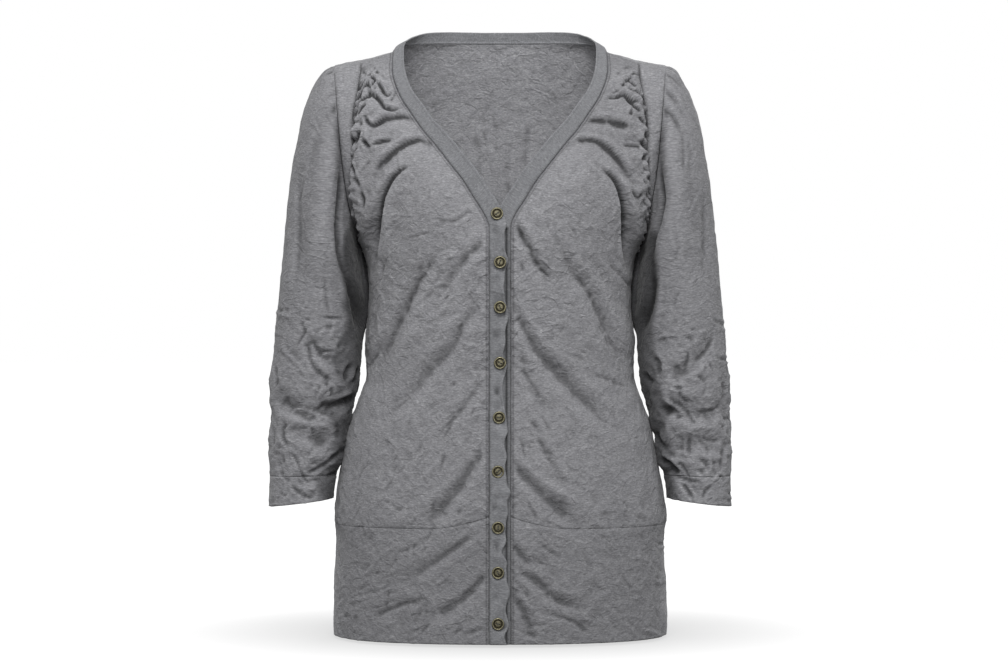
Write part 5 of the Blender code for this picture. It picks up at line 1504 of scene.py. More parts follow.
# ---------------------------------------------------------------- pieces
@dataclass
class Front:
    """One front with its hem band and its armhole strap."""

    hand: Hand
    step: float = 1.7                   # mm between rows and between columns
    wide: float = 226.0                 # mm that the columns are shared over
    yoke_rows: int = 136
    strap_rows: int = 120
    stitch_column: int = 2              # counted from the placket
    stitch_line: np.ndarray | None = None

    def columns(self) -> np.ndarray:
        """Shares of the width where columns lie, from the placket."""
        return spaced(self.wide, self.step, FINE_EDGE)

    def from_seams(self, grid: np.ndarray) -> tuple[np.ndarray, np.ndarray]:
        """Distance of each point from the placket's seam and from the side or the strap."""
        return edge_distances(grid)[::self.hand.value]

    def gathered(self, grid: np.ndarray, side: np.ndarray, up: np.ndarray) -> np.ndarray:
        """Puckers, creases and crush of the cloth gathered to the strap.

        Args:
            grid: Smooth form, columns from -X to +X.
            side: Distance from the strap of each point, mm.
            up: Distance up the strap from its foot, mm.

        Returns:
            Height at each point, mm.
        """
        sign = self.hand.value
        height = np.zeros_like(side)
        for puckers in STRAP_PUCKERS:
            seeded = replace(puckers, seed=puckers.seed + sign)
            height += seeded.relief(up, side) * ease((up + 14) / 20)
        creases = RIGHT_GATHERS if self.hand is Hand.RIGHT else LEFT_GATHERS
        height += GATHER_DEEP * fold_relief(grid[:, :, 0], grid[:, :, 2], creases, (0.3, 0.3))
        crush = 3.6 * wrinkles(grid * CRUSH_SQUEEZE, 11.0, 65 + sign)
        crush += 2.6 * wrinkles(grid * CRUSH_SQUEEZE, 6.0, 67 + sign)
        return height + crush * bell(side / CRUSH_REACH) * ease((up - 20) / 40)

    def relief(self, grid: np.ndarray, rows: Sequence[Row]) -> np.ndarray:
        """Folds, creases, gathers and seam lines of a front or of its hem band.

        Args:
            grid: Smooth form, columns from -X to +X.
            rows: Its rows.

        Returns:
            Height at each point, mm.
        """
        centre, side = self.from_seams(grid)
        x, z = grid[:, :, 0], grid[:, :, 2]
        place, station = row_places(rows)
        sign = self.hand.value
        tip = np.where(station, ease((TIP_STEP - place) / 1.5), 1.0)
        folds = [replace(fold, wide_start=FOLD_START * fold.wide_start,
                         deep_start=FOLD_FAINT * fold.deep_start) for fold in FRONT_FOLDS]
        broad = fold_relief(x, z, folds, (0.3, 0.2))
        broad *= ease(centre / SEAM_CALM + 0.1) * ease(side / SEAM_CALM + 0.2) * tip
        creases = RIGHT_CREASES if self.hand is Hand.RIGHT else LEFT_CREASES
        fine = fold_relief(x, z, creases + strewn(FRONT_STREWN, sign, sign))
        fine += crinkle(grid, 5 + sign, 1.25)
        fine *= ease(centre / CREASE_CALM) * ease(side / CREASE_CALM + 0.2) * tip
        if station.any():
            along = walked(grid[:, 0 if self.hand is Hand.RIGHT else -1])[:, None]
            up = along - along[np.argmax(station)] + 0 * side
            fine += self.gathered(grid, side, up) * tip * ease(side / 1.5 + 0.25)
            broad += PUFF * ease(side / PUFF_EDGE) * tip * ease(up / 40.0) * bell(
                np.maximum(side - PUFF_EDGE, 0) / PUFF_REACH)
        puckers = replace(BAND_PUCKERS, seed=BAND_PUCKERS.seed + sign)
        fine += puckers.relief(z - HEM, centre) * ease((STRAP_FOOT + 20 - z) / 20)
        low = np.where(station, FAR_OFF, place - HIP_SEAM)
        lines = groove(centre, 0.9, 1.3) + groove(side, 0.9, 1.3) + groove(low, 0.55, 1.8)
        lines += groove(centre - TOPSTITCH, 0.35, 0.7)
        return broad + fine + lines

    def panel(self, rows: Sequence[Row]) -> Panel:
        """Rows of this front, cut out of its form and creased."""
        form = front_form(self.hand, rows, self.columns())
        height = self.relief(form, rows)
        z = form[:, :, 2]
        centre, side = self.from_seams(form)
        # Painted light and shade of the folds, stronger beside the strap.
        pit = PIT + (SOFT_PIT - PIT) * ease((YOKE_FOOT - z) / 60)
        sharper = 1 + YOKE_SHARP * bell(side / CRUSH_REACH) * ease((z - STRAP_FOOT) / 40)
        tone = painted_fold_shading(height * sharper, (self.step, self.step), pit=pit)
        # Painted shade where the sleeve hangs against the front.
        sleeve_shade_span = ease((z - YOKE_FOOT) / 30) * ease((ARM_PIT - z) / 20)
        tone *= shaded(side, ARM_SHADE * sleeve_shade_span, ARM_WIDE)
        # Painted shade on the hem band.
        tone *= 1 - HEM_SHADE * ease((HIP_SEAM + 40 - z) / 80)
        # Painted light and shade of the fronts, by height.
        tone *= np.interp(z, *zip(*FRONT_PAINTED_LIGHT))
        # Painted shade on the left yoke.
        if self.hand is Hand.LEFT:
            tone *= 1 - YOKE_SHADE * ease((z - YOKE_SHADE_AT) / 50)
        # Painted light along the side seams.
        tone *= shaded(side, -SIDE_PAINTED_LIGHT * ease((SIDE_TOP - z) / 60), SIDE_WIDE)
        # Painted shade along the gathered seam at the strap, deeper in uneven patches.
        yoke = np.array([ease(row.place / 2) if row.station else 0.0 for row in rows])[:, None]
        tone *= shaded(side, 0.4 * yoke, 1.8)
        patches = ease(1.8 * lattice_noise(form, 12.0, 81 + self.hand.value))
        tone *= shaded(side, 0.6 * yoke * patches, 7.0)
        # Painted shade along the band's seam and along the topstitching.
        tone *= shaded(centre, 0.3, 0.9)
        tone *= shaded(centre - TOPSTITCH, 0.4, 0.8)
        if self.hand is Hand.RIGHT:
            height = height + lap_rise(form[:, :, 0])
        return form + normals(form) * height[:, :, None], grain_places(form), tone

    def strap(self) -> Panel:
        """The strap between the gathered edge and the sleeve, its long edges turned in."""
        rows = []
        share = np.concatenate([[0, 0.05, 0.1], np.linspace(0.2, 0.8, 7), [0.9, 0.95, 1.0]])
        for station in np.linspace(0.0, TIP_STEP - 0.02, self.strap_rows):
            inner = through(range(len(FRONT_YOKE)), FRONT_YOKE, station)[0, 3:6]
            outer = armhole_at(station)
            bulge = STRAP_WAY * np.linalg.norm(outer - inner) * STRAP_BULGE
            points = inner + (outer - inner) * share[:, None]
            rows.append(points + bulge * (4 * share * (1 - share))[:, None])
        form = np.array(rows)
        form[:, :, 0] *= self.hand.value
        if self.hand is Hand.RIGHT:
            form = form[:, ::-1]
        first, last = edge_distances(form)
        z = form[:, :, 2]
        narrow = np.clip((first + last) / 12.0, 0.2, 1.0)
        calm = ease(first / 4) * ease(last / 4)
        height = narrow * (groove(first, 0.5, 1.6) + groove(last, 0.5, 1.6))
        height = height + crinkle(form, 91 + self.hand.value, 0.8) * calm
        tone = painted_fold_shading(height, (2.0, 2.5))
        # Painted shade along the strap's seams, fading out towards the underarm.
        tone *= shaded(np.minimum(first, last), 0.25 * ease((z + 190) / 50), 2.2)
        # Painted shade under the arm.
        tone *= 1 - PIT_SHADE * ease((ARM_PIT - z) / PIT_RUN)
        flow = normals(form)
        grid = form + flow * height[:, :, None]
        ends = [grid[:, edge] - TURN_IN * flow[:, edge] for edge in (0, -1)]
        return with_edges((grid, grain_places(form), tone), ends)

    def build(self, finishes: Finishes) -> list[bpy.types.Object]:
        """Builds the front, its hem band and its strap."""
        word = self.hand.word
        stations = np.linspace(0, TIP_STEP - 0.01, self.yoke_rows)
        panel = self.panel(body_rows(STRAP_FOOT, self.step, stations))
        self.stitch_line = panel[0][:, ::self.hand.value][:, self.stitch_column]
        front = cloth("jersey_front_" + word, panel, JERSEY_WALL)
        dress(front, finishes.jersey, "front_" + word)

        hem = cloth("jersey_hem_band_" + word, self.panel(hem_rows(self.step)), JERSEY_WALL)
        dress(hem, finishes.jersey, "hem_band_" + word)

        strap = cloth("jersey_strap_" + word, self.strap(), JERSEY_WALL)
        dress(strap, finishes.jersey, "armhole_strap_" + word)
        return [front, hem, strap]


@dataclass
class Back:
    """The back and its hem band."""

    step: float = 3.0
    half_wide: float = 205.0            # mm that half the columns are shared over
    yoke_rows: int = 90
    wider: float = 1.8                  # its creases against their table, in width
    deeper: float = 1.3                 # and in depth
    lean: float = 0.25

    def columns(self) -> np.ndarray:
        """Shares of the half width where columns lie, from the centre line."""
        half = spaced(2 * self.half_wide, self.step, FINE_EDGE)
        return np.concatenate([[0.0], 2 * half[half > 0.5001] - 1])

    def creases(self) -> list[Crease]:
        """All its creases, small ones first."""
        return strewn(BACK_STREWN) + [
            Crease(crease.path, self.wider * crease.wide_start, self.wider * crease.wide_end,
                   self.deeper * crease.deep_start, self.deeper * crease.deep_end, self.lean)
            for crease in BACK_CREASES]

    def panel(self, rows: Sequence[Row]) -> Panel:
        """Rows of the back, cut out of its form and creased, the armhole edges turned in."""
        form = back_form(rows, self.columns())
        side = np.minimum(*edge_distances(form))
        x, z = form[:, :, 0], form[:, :, 2]
        place, station = row_places(rows)
        broad = fold_relief(x, z, BACK_FOLDS, (0.3, 0.2)) * ease(side / SEAM_CALM + 0.1)
        fine = fold_relief(x, z, self.creases()) + crinkle(form, 301, 1.3)
        fine *= ease(side / CREASE_CALM + 0.1)
        top = np.where(station, ease((place - TIP_STEP) / 0.6), 1.0)
        low = np.where(station, FAR_OFF, place - HIP_SEAM)
        height = broad + fine * top + (groove(side, 0.9, 1.4) + groove(low, 0.55, 1.8))
        tone = painted_fold_shading(height, (self.step, self.step), pit=SOFT_PIT)
        # Painted light on the upper back, where its inside shows through the neck.
        tone *= 1 + INSIDE_PAINTED_LIGHT * ease((z - INSIDE_FOOT) / 130) * ease(
            (INSIDE_WIDE - np.abs(x)) / 110)
        weave = grain_places(form)
        down = np.linalg.norm(np.diff(form, axis=0), axis=2)
        weave[1:, :, 1] = weave[:1, :, 1] + np.cumsum(down, axis=0)
        flow = normals(form)
        grid = form + flow * height[:, :, None]
        ends = []
        for edge, before in ((0, 1), (-1, -2)):
            way = form[:, edge] - form[:, before]
            way = way / np.linalg.norm(way, axis=1, keepdims=True)
            ends.append(grid[:, edge] + station * way * TURN_UNDER - flow[:, edge] * TURN_IN)
        return with_edges((grid, weave, tone), ends)

    def build(self, finishes: Finishes) -> list[bpy.types.Object]:
        """Builds the back and its hem band."""
        stations = np.linspace(RING_STEPS, TIP_STEP + 0.02, self.yoke_rows)
        rows = body_rows(float(armhole_at(RING_STEPS)[2]), self.step, stations)
        back = cloth("jersey_back", self.panel(rows), JERSEY_WALL)
        dress(back, finishes.jersey, "back")
        hem = cloth("jersey_hem_band_back", self.panel(hem_rows(self.step)), JERSEY_WALL)
        dress(hem, finishes.jersey, "hem_band_back")
        return [back, hem]


@dataclass
class Sleeve:
    """A three-quarter sleeve and its cuff band."""

    hand: Hand
    step: float = 2.2
    around: int = 136                   # columns round the arm
    girth: float = 260.0                # mm round, to measure from the underarm seam
    elbow: float = -415.0               # height where it creases most
    elbow_tall: float = 60.0
    head: tuple[float, float] = (-330.0, -30.0)     # heights between which its head rolls
    head_turns: tuple[float, float] = (0.01, 0.34)  # and how far round from the inner side
    # places along the armhole where pleats of the sleeve head lie, in stations
    pleats: tuple[float, ...] = (9.3, 10.2, 11.0, 11.8, 12.5, 13.4, 14.3, 15.3, 16.4)
    arm_x: float = 201.0                # centre line of the arm, for laying out the grain
    arm_y: float = -6.0
    arm_z: float = -264.0
    arm_lean: float = 0.1
    arm_round: float = 48.0
    grain_lean: float = 0.09

    def stations(self, first: float, last: float) -> np.ndarray:
        """Section numbers from first to last, evenly spaced down the outer side."""
        dense = np.linspace(first, last, 400)
        outer = through(range(len(SLEEVE)), SLEEVE[:, :2], dense)
        along = walked(outer)
        return np.interp(np.linspace(0, along[-1], round(along[-1] / self.step) + 1), along, dense)

    def smooth(self, down: np.ndarray, turns: np.ndarray, around: np.ndarray) -> np.ndarray:
        """Form of the sleeve without creases, dented where it lies against the body.

        Args:
            down: Section number of each row.
            turns: Whole turns of each column, from the inner side by the front.
            around: The same from -0.5 to 0.5.

        Returns:
            Rows and columns of points, mm.
        """
        form = np.array([sleeve_section(station, turns) for station in down[:, 0]])
        for axis, shift, middle, wide, start, grows, end, fades in SLEEVE_DENTS:
            span = ease((down - start) / grows) * ease((end - down) / fades)
            form[:, :, axis] += shift * span * bell((around - middle) / wide)
        return form

    def pleat_relief(self, down: np.ndarray, turns: np.ndarray) -> np.ndarray:
        """Height of the pleats of the sleeve head, mm."""
        rng = np.random.default_rng(441 + self.hand.value)
        steps = (turns * RING_STEPS)[None]
        total = np.zeros((len(down), len(turns)))
        for step in self.pleats:
            deep, reach = rng.uniform(1.0, 2.4), rng.uniform(0.9, 2.4)
            wide = rng.uniform(0.22, 0.34)
            centre = step + rng.normal(0, 0.15) + rng.normal(0, 0.12) * down
            fade = ease(down / 0.25) * ease(1.1 - down / reach)
            total += deep * fade * (0.8 * bell((steps - centre - 0.45) / wide)
                                    - bell((steps - centre) / wide))
        return total

    def relief(self, form: np.ndarray, down: np.ndarray, turns: np.ndarray) -> np.ndarray:
        """Folds, creases, pleats and seam lines of the sleeve or of its cuff.

        Args:
            form: Smooth form.
            down: Section number of each row.
            turns: Whole turns of each column, from the inner side by the front.

        Returns:
            Height at each point, mm.
        """
        sign = self.hand.value
        x, y, z = np.moveaxis(form, 2, 0)
        half = self.around // 2
        middle = (y[:, :1] + y[:, half:half + 1]) / 2
        broad, fine = np.zeros(x.shape), np.zeros(x.shape)
        for face, flag in (("front", 1), ("back", -1)):
            turned = ease(flag * (middle - y) / 24.0 + 0.3)
            key = self.hand.word, face
            broad += turned * fold_relief(x, z, SLEEVE_FOLDS[key], (0.3, 0.2))
            creases = SLEEVE_CREASES[key] + strewn(SLEEVE_STREWN, 2 * sign + flag)
            fine += turned * fold_relief(x, z, creases)
        elbow = bell((z - self.elbow) / self.elbow_tall)
        fine += crinkle(form, 431 + sign) * (0.85 + 0.5 * elbow)
        fine += 3.0 * elbow * wrinkles(form, 19.0, 433 + sign)
        fine += 1.8 * elbow * wrinkles(form, 9.0, 435 + sign)
        near_seam = np.minimum(turns, 1 - turns)[None, :] * self.girth
        fine *= ease(near_seam / CREASE_CALM + 0.1)
        fine *= ease(down / 0.5)
        fine += self.pleat_relief(down, turns)
        away = np.abs(down - CUFF_SEAM_ROW) * 22.0
        lines = groove(away, 0.22, 2.0) + groove(near_seam, 0.7, 1.3)
        return broad * ease(down / 0.8) + fine + lines + groove(down * 14.0, 0.4, 2.0)

    def panel(self, stations: np.ndarray) -> Panel:
        """Rows of the sleeve or of its cuff from the wrist up, the armhole edge turned in."""
        word = self.hand.word
        turns = np.linspace(0, 1, self.around + 1)
        around = np.where(turns > 0.5, turns - 1.0, turns)[None, :]
        down = np.asarray(stations)[::-1, None]
        form = self.smooth(down, turns, around)
        x, y, z = np.moveaxis(form, 2, 0)
        beyond = x - np.interp(z, *VALLEY[word].T)
        (low, high), (first, last) = self.head, self.head_turns
        facing = ease((around - first) / 0.03) * ease((last - around) / 0.08)
        facing = facing * ease((z - low) / 30.0) * ease((high - z) / 12.0)
        height = self.relief(form, down, turns)
        height += HEAD_ROLL * facing * ease(beyond / HEAD_EDGE) * ease((z + 300.0) / 80.0) * bell(
            np.maximum(beyond - HEAD_EDGE, 0) / HEAD_REACH) * ease(down / 0.4)
        tone = painted_fold_shading(height, (self.step, self.step), tube=True, pit=SLEEVE_PIT)
        # Painted shade on the sleeve above the cuff.
        tone *= 1 - SLEEVE_SHADE * ease((z - SLEEVE_SHADE_AT) / 60)
        # Painted shade where the sleeve dives to the armhole seam.
        tone *= 1 - SEAM_SHADE * facing * np.exp(-np.abs(beyond) / SEAM_SHADE_WIDE)
        # Painted shade in the hollow down the inner side, against the body; the hollow also lies back.
        inner = x - x.min(axis=1, keepdims=True)
        heights, widths, shares = INNER_HOLLOW[word].T
        hollow = ease((np.interp(z, heights, widths) - inner) / HOLLOW_EDGE + 0.5)
        hollow = hollow * ease((0.3 - np.abs(around + 0.03)) / 0.06)
        tone *= 1 - np.interp(z, heights, shares) * hollow
        tone *= 1 - INNER_SHADE * hollow * ease(1.4 - inner / INNER_WIDE)
        # Painted shade under the arm.
        tone *= 1 - PIT_SHADE * ease((ARM_PIT - z) / PIT_RUN) * (around > 0) * bell(down / 0.7)
        flow = normals(form, tube=True)
        grid = form + flow * height[:, :, None]
        grid[:, :, 1] += HOLLOW_DEEP * hollow * (around > 0) * ease(around / 0.05)
        arm_x = self.arm_x - (z - self.arm_z) * self.arm_lean
        angle = np.unwrap(np.arctan2(self.arm_y - y, x - arm_x), axis=1)
        half = self.around // 2
        angle = angle - angle[:, half:half + 1]
        weave = np.stack([-self.arm_round * angle, z - self.grain_lean * x], axis=2)
        if down[-1, 0] < 0.1:
            grid = np.concatenate([grid, grid[-1:] - flow[-1:] * TURN_IN])
            weave = np.concatenate([weave, weave[-1:]])
            tone = np.concatenate([tone, tone[-1:]])
        grid[:, :, 0] *= self.hand.value
        if self.hand is Hand.RIGHT:
            weave = weave * np.array([-1.0, 1.0])
            grid, weave, tone = grid[:, ::-1], weave[:, ::-1], tone[:, ::-1]
        return grid, weave, tone

    def build(self, finishes: Finishes) -> list[bpy.types.Object]:
        """Builds the sleeve and its cuff band."""
        word = self.hand.word
        stations = np.concatenate([[0.006], self.stations(0.06, CUFF_SEAM_ROW - 0.001)])
        sleeve = cloth("jersey_sleeve_" + word, self.panel(stations), JERSEY_WALL, tube=True)
        dress(sleeve, finishes.jersey, "sleeve_" + word)
        stations = self.stations(CUFF_SEAM_ROW + 0.001, len(SLEEVE) - 1)
        cuff = cloth("jersey_cuff_" + word, self.panel(stations), BAND_WALL, tube=True)
        dress(cuff, finishes.jersey, "cuff_band_" + word)
        return [sleeve, cuff]


@dataclass
class Band:
    """The neckband and placket in one strip."""

    step: float = 2.0
    columns: int = 13
    placket_over: float = 30.0          # the placket's waves end this far above the strap foot
    wave_rise: tuple[float, float] = (1.4, 3.2)     # least and most, between two buttons
    wave_drift: tuple[float, float] = (-3.2, 2.6)   # the same for its free edge, sideways
    ripple_drift: float = 4.0
    ripple_rise: float = 1.8
    shade_at: float = 4.6               # shade of the lap on the left half, from its seam
    shade_wide: float = 1.9

    def face(self) -> Panel:
        """The whole strip, from the hem round the neck and down again."""
        right = band_form(Hand.RIGHT, self.step, self.columns)
        left = band_form(Hand.LEFT, self.step, self.columns)[::-1]
        form = np.concatenate([right, left[1:]])
        z = form[:, :, 2]
        share = np.linspace(0, 1, self.columns)[None, :]
        seam, free = share * PLACKET_WIDE, (1 - share) * PLACKET_WIDE
        height = groove(seam, 0.8, 1.4) + 0.35 * ease(seam / 4) * ease(free / 3)
        height = height - groove(free - 1.2, 0.55, 0.9) + groove(free - 3.2, 0.4, 0.9)
        height = height + crinkle(form, 501, 0.5) * ease(seam / 5)
        drop = np.zeros_like(height)
        row = np.arange(len(form))[:, None]
        placket = row < np.argmax(z[:, 0] > STRAP_FOOT + self.placket_over)
        buttons = [place[1] for place in reversed(BUTTONS)]
        rng = np.random.default_rng(511)
        for low, high in zip(buttons[:-1], buttons[1:]):
            middle = low + (high - low) * rng.uniform(0.4, 0.6)
            wide = (high - low) * rng.uniform(0.2, 0.3)
            wave = placket * bell((z - middle) / wide)
            height = height + wave * rng.uniform(*self.wave_rise) * ease((share - 0.4) / 0.5)
            drop = drop + wave * rng.uniform(*self.wave_drift) * ease((share - 0.5) / 0.5)
        ripple = lattice_noise(form * np.array([0.2, 0.2, 1.0]), 13.0, 521)
        drop = drop + placket * self.ripple_drift * ripple * ease((share - 0.6) / 0.4)
        ripple = lattice_noise(form, 10.0, 523)
        height = height + placket * self.ripple_rise * ripple * ease(seam / 6)
        grid = form + normals(form) * height[:, :, None]
        grid[:, :, 0] += drop
        along = walked(form[:, self.columns // 2])[:, None] + 0 * share
        weave = np.stack([seam + 0 * along, along], axis=2)
        tone = painted_fold_shading(height, (self.step, PLACKET_WIDE / self.columns))
        # Painted shade along the band's seam.
        tone *= shaded(seam, 0.3, 1.3)
        # Painted light round the back of the neck.
        tone *= 1 + BACK_NECK_PAINTED_LIGHT * ease(form[:, :, 1] / 30)
        under = (z < STRAP_FOOT + 24) & (row > len(form) // 2)
        tone *= shaded(seam - self.shade_at, 0.85 * under, self.shade_wide)
        return grid, weave, tone

    def build(self, finishes: Finishes) -> list[bpy.types.Object]:
        """Builds the strip."""
        band = cloth("neckband_and_placket_jersey", self.face(), BAND_WALL)
        dress(band, finishes.band, "neckband_and_placket")
        return [band]


@dataclass
class Button:
    """A dished two-hole brass button with its thread."""

    number: int
    wide: float = 14.0
    deep: float = 2.8
    steps: int = 48
    hole: float = 1.9
    apart: float = 3.4                  # from hole to hole
    strands: tuple[float, ...] = (-0.45, 0.0, 0.45)
    strand: float = 0.26                # half the thickness of one
    strand_low: float = 0.45            # how flat the loops of thread lie
    face: float = 1.75                  # height from which they rise
    turn: int = 37                      # degrees that each button is turned on from the last

    def profile(self) -> list[tuple[float, float]]:
        """Radius and height of the turned outline, from the back to the middle of the face."""
        half = self.wide / 2
        return [(0.0, 0.0), (half - 1.5, 0.0), (half - 0.5, 0.5), (half - 0.05, 1.2),
                (half, 1.6), (half - 0.15, 2.2), (half - 0.6, 2.65), (half - 1.1, 2.8),
                (half - 1.6, 2.6), (half - 2.0, 2.05), (half - 2.3, 1.45), (half - 2.7, 1.3),
                (half - 3.1, 1.5), (half - 3.5, 1.85), (half - 4.2, 2.0), (1.2, 1.95), (0.0, 1.9)]

    def body(self) -> bpy.types.Object:
        """The turned and drilled button, lying face up at the origin."""
        work = bmesh.new()
        verts = [work.verts.new((radius * MM, 0.0, high * MM)) for radius, high in self.profile()]
        edges = [work.edges.new(pair) for pair in zip(verts[:-1], verts[1:])]
        bmesh.ops.spin(work, geom=verts + edges, cent=(0, 0, 0), axis=(0, 0, 1),
                       angle=math.tau, steps=self.steps, use_merge=True)
        bmesh.ops.remove_doubles(work, verts=work.verts[:], dist=1e-6)
        bmesh.ops.recalc_face_normals(work, faces=work.faces[:])
        made = to_object("brass_button_%d" % self.number, work)
        drill = bmesh.new()
        for way in (-1, 1):
            hole = bmesh.ops.create_cone(drill, cap_ends=True, segments=16,
                                         radius1=self.hole / 2 * MM, radius2=self.hole / 2 * MM,
                                         depth=4 * self.deep * MM)
            bmesh.ops.translate(drill, verts=hole["verts"], vec=(way * self.apart / 2 * MM, 0, 0))
        cutter = to_object("drill", drill)
        cut = made.modifiers.new("holes", "BOOLEAN")
        cut.operation, cut.solver, cut.object = "DIFFERENCE", "EXACT", cutter
        graph = bpy.context.evaluated_depsgraph_get()
        drilled = bpy.data.meshes.new_from_object(made.evaluated_get(graph))
        made.modifiers.clear()
        made.data = drilled
        bpy.data.objects.remove(cutter, do_unlink=True)
        return made

    def thread(self) -> bpy.types.Object:
        """Strands of thread over the bar between the holes, at the origin."""
        work = bmesh.new()
        for shift in self.strands:
            ring = bmesh.ops.create_circle(work, cap_ends=False, segments=8,
                                           radius=self.strand * MM)
            turn = Matrix.Translation((self.apart / 2 * MM, 0, 0))
            bmesh.ops.transform(work, matrix=turn, verts=ring["verts"])
            geom = ring["verts"] + list({edge for vert in ring["verts"] for edge in vert.link_edges})
            swept = bmesh.ops.spin(work, geom=geom, cent=(0, 0, 0), axis=(0, 1, 0),
                                   angle=-math.pi, steps=12)
            verts = set(ring["verts"])
            verts |= {item for item in swept["geom_last"] if isinstance(item, bmesh.types.BMVert)}
            frontier = set(verts)
            while frontier:
                frontier = {edge.other_vert(vert) for vert in frontier
                            for edge in vert.link_edges} - verts
                verts |= frontier
            bmesh.ops.scale(work, vec=(1.0, 1.0, self.strand_low), verts=list(verts))
            bmesh.ops.translate(work, vec=(0, shift * MM, self.face * MM), verts=list(verts))
        bmesh.ops.holes_fill(work, edges=work.edges[:])
        bmesh.ops.recalc_face_normals(work, faces=work.faces[:])
        return to_object("button_thread_%d" % self.number, work)

    def build(self, finishes: Finishes) -> list[bpy.types.Object]:
        """Builds the button where its solid lies."""
        low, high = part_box("button_%d" % self.number)
        place = (low + high) / 2
        body, thread = self.body(), self.thread()
        rubbed = body.data.attributes.new("rubbed", "FLOAT", "POINT")
        co = np.empty(len(body.data.vertices) * 3, np.float32)
        body.data.vertices.foreach_get("co", co)
        co = co.reshape(-1, 3) / MM
        far = np.hypot(co[:, 0], co[:, 1])
        rim = bell((far - self.wide / 2 + 1.0) / 0.8) * (co[:, 2] > 2.0)
        hub = 0.6 * ease((3.6 - far) / 1.0) * (co[:, 2] > 1.6)
        rubbed.data.foreach_set("value", (rim + hub).astype(np.float32))
        turn = Matrix.Rotation(math.radians((self.turn * self.number) % 180), 4, "Z")
        stand = Matrix.Rotation(math.pi / 2, 4, "X")
        rise = Matrix.Translation((0, 0, -self.deep / 2 * MM))
        spot = Matrix.Translation(place)
        for piece in (body, thread):
            piece.data.transform(spot @ stand @ rise @ turn)
            piece.data.shade_smooth()
            piece.data.update()
        dress(body, finishes.brass, "button_%d" % self.number)
        dress(thread, finishes.button_thread)
        return [body, thread]


@dataclass
class Topstitching:
    """Rows of stitches beside the band's seam, laid on the fronts."""

    pitch: float = 3.0
    long: float = 2.3
    thick: float = 0.24

    def build(self, lines: dict[str, np.ndarray], finishes: Finishes) -> list[bpy.types.Object]:
        """Builds one piece of stitches for each line of points.

        Args:
            lines: For each name, the points on the cloth that the row follows, mm.
            finishes: The finishes.

        Returns:
            The pieces.
        """
        made = []
        for name, line in lines.items():
            along = walked(line)
            work = bmesh.new()
            for place in np.arange(self.pitch, along[-1] - self.pitch, self.pitch):
                ends = [Vector([np.interp(place + way * self.long / 2, along, line[:, axis])
                                for axis in range(3)]) for way in (-1, 1)]
                way = ends[1] - ends[0]
                turn = way.to_track_quat("Z", "Y").to_matrix().to_4x4()
                middle = (ends[0] + ends[1]) / 2
                matrix = Matrix.Scale(MM, 4) @ Matrix.Translation(middle) @ turn
                bmesh.ops.create_cone(work, cap_ends=True, segments=6, radius1=self.thick,
                                      radius2=self.thick, depth=way.length, matrix=matrix)
            piece = to_object(name, work)
            piece.data.shade_smooth()
            dress(piece, finishes.thread)
            made.append(piece)
        return made


# ---------------------------------------------------------------- studio
@dataclass(frozen=True)
class Softbox:
    """A large soft light that faces a point."""

    name: str
    place: tuple[float, float, float]
    aim: tuple[float, float, float]
    size: float
    power: float

    def build(self) -> None:
        """Adds the light."""
        data = bpy.data.lights.new(self.name, "AREA")
        data.shape, data.size, data.energy = "SQUARE", self.size, self.power
        lamp = bpy.data.objects.new(self.name, data)
        lamp.location = self.place
        way = Vector(self.aim) - Vector(self.place)
        lamp.rotation_euler = way.to_track_quat("-Z", "Y").to_euler()
        bpy.context.scene.collection.objects.link(lamp)


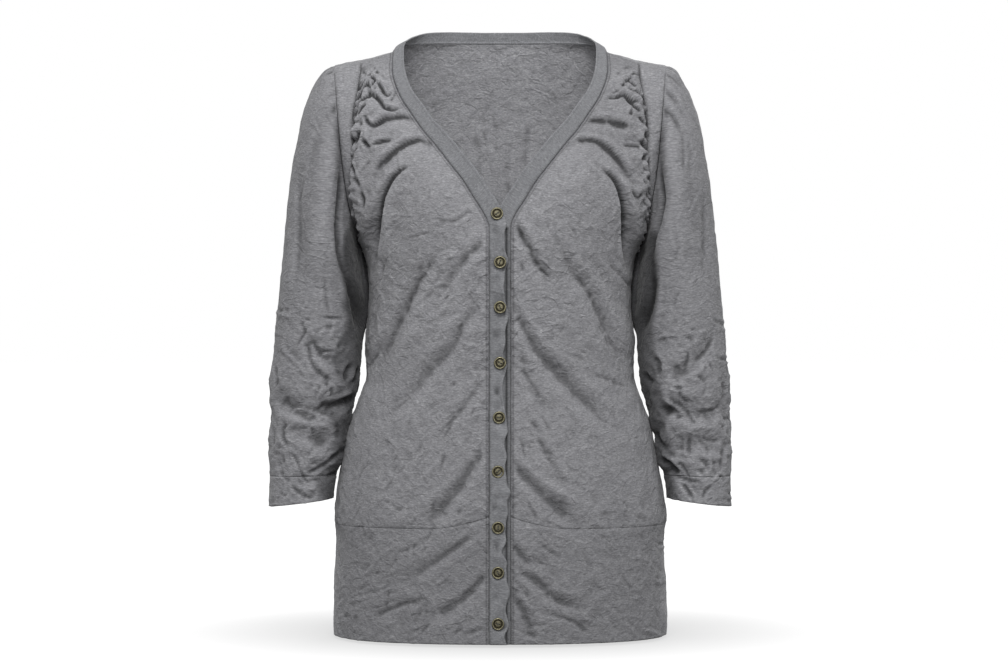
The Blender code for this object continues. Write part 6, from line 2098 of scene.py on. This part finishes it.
@dataclass
class Studio:
    """Pale floor, white surroundings, soft lights and the camera."""

    floor_z: float = -0.6795
    surround: float = 0.66
    eye: tuple[float, float, float] = (0.0046, -3.0, -0.33465)
    shown_wide: float = 1.1592          # metres across the picture at the origin's depth
    shade_at: tuple[float, float, float] = (0.0, 0.05, 0.0)     # middle of the painted shadow on the floor
    shade_size: tuple[float, float, float] = (0.15, 0.115, 1.0)
    shade_reach: tuple[float, float] = (1.4, 3.1)               # where it fades, in sizes
    shade: float = 0.64
    sensor: float = 36.0
    lights: tuple[Softbox, ...] = (
        Softbox("key", (-0.1, -2.0, 1.0), (0.0, 0.0, -0.2), 0.8, 12.5),
        Softbox("top", (0.0, -1.1, 0.6), (0.0, 0.05, -0.1), 0.5, 6.5),
        Softbox("left", (-2.2, -1.3, 0.2), (0.0, 0.0, -0.3), 1.0, 7.8),
        Softbox("right", (2.2, -1.3, 0.2), (0.0, 0.0, -0.3), 1.0, 9.0),
        Softbox("front", (0.1, -2.9, 0.2), (0.0, 0.0, -0.2), 1.0, 12.5),
        Softbox("back", (0.5, 2.4, 0.6), (0.0, 0.0, -0.3), 1.2, 30.0),
    )

    def floor(self) -> None:
        """Plain pale floor of matt paper, without gloss, that glows to the eye, with a painted shadow
        round the cardigan.
        """
        work = bmesh.new()
        bmesh.ops.create_grid(work, x_segments=1, y_segments=1, size=30.0)
        bmesh.ops.translate(work, verts=work.verts[:], vec=(0, 0, self.floor_z))
        floor = to_object("floor", work)
        material, tree = new_material("floor_paper")
        path = add_node(tree, "LightPath")
        place = add_node(tree, "TexCoord")
        # Painted shadow: the floor's glow is dimmer in an ellipse round the cardigan's foot, and full
        # far off.
        near = add_node(tree, "Mapping", {"vector_type": "TEXTURE"}, {
            "Vector": place.outputs["Object"], "Location": self.shade_at,
            "Scale": self.shade_size})
        away = add_node(tree, "VectorMath", {"operation": "LENGTH"},
                        {0: near.outputs["Vector"]})
        far = add_node(tree, "MapRange", {"interpolation_type": "LINEAR"}, {
            "Value": away.outputs["Value"], "From Min": self.shade_reach[0],
            "From Max": self.shade_reach[1], "To Min": self.shade, "To Max": 1.0})
        glow = add_node(tree, "Math", {"operation": "MULTIPLY"}, {
            0: path.outputs["Is Camera Ray"], 1: far.outputs[0]})
        shader = add_node(tree, "BsdfPrincipled", None, {
            "Base Color": (0.12, 0.12, 0.12, 1.0), "Roughness": 1.0, "Specular IOR Level": 0.0,
            "Emission Color": (1.0, 1.0, 1.0, 1.0), "Emission Strength": glow.outputs[0]})
        add_node(tree, "OutputMaterial", None, {"Surface": shader.outputs["BSDF"]})
        floor.data.materials.append(material)

    def surroundings(self) -> None:
        """White all round, brighter to the eye than as a light."""
        world = bpy.data.worlds.new("studio")
        world.use_nodes = True
        tree = world.node_tree
        tree.nodes.clear()
        path = add_node(tree, "LightPath")
        strength = add_node(tree, "Mix", {"data_type": "FLOAT"}, {
            0: path.outputs["Is Camera Ray"], 2: self.surround, 3: 1.0})
        back = add_node(tree, "Background", None, {
            "Color": (1.0, 1.0, 1.0, 1.0), "Strength": strength.outputs[0]})
        add_node(tree, "OutputWorld", None, {"Surface": back.outputs["Background"]})
        bpy.context.scene.world = world

    def camera(self) -> None:
        """Camera level with the middle of the cardigan, 3 m in front of it."""
        data = bpy.data.cameras.new("camera")
        data.sensor_width = self.sensor
        data.lens = self.sensor * -self.eye[1] / self.shown_wide
        eye = bpy.data.objects.new("camera", data)
        eye.location = self.eye
        eye.rotation_euler = (math.pi / 2, 0.0, 0.0)
        bpy.context.scene.collection.objects.link(eye)
        bpy.context.scene.camera = eye

    def build(self) -> None:
        """Sets up the studio."""
        self.floor()
        self.surroundings()
        self.camera()
        for light in self.lights:
            light.build()
        bpy.context.scene.view_settings.view_transform = "Standard"


def main() -> None:
    """Builds the looks of the cardigan around its frame."""
    logging.basicConfig(level=logging.INFO, format="%(name)s: %(message)s")
    finishes = Finishes()
    made: list[bpy.types.Object] = []
    fronts = [Front(Hand.RIGHT), Front(Hand.LEFT)]
    for front in fronts:
        made += front.build(finishes)
    made += Back().build(finishes)
    for hand in Hand:
        made += Sleeve(hand).build(finishes)
    made += Band().build(finishes)
    for number in range(1, len(BUTTONS) + 1):
        made += Button(number).build(finishes)
    lines = {"topstitching_" + front.hand.word: front.stitch_line for front in fronts}
    made += Topstitching().build(lines, finishes)
    Studio().build()
    graph = bpy.context.evaluated_depsgraph_get()
    total = 0
    for piece in made:
        shown = piece.evaluated_get(graph).data
        count = sum(len(face.vertices) - 2 for face in shown.polygons)
        total += count
        LOG.info("%s: %d triangles", piece.name, count)
    LOG.info("all pieces: %d triangles", total)


if __name__ == "__main__":
    main()
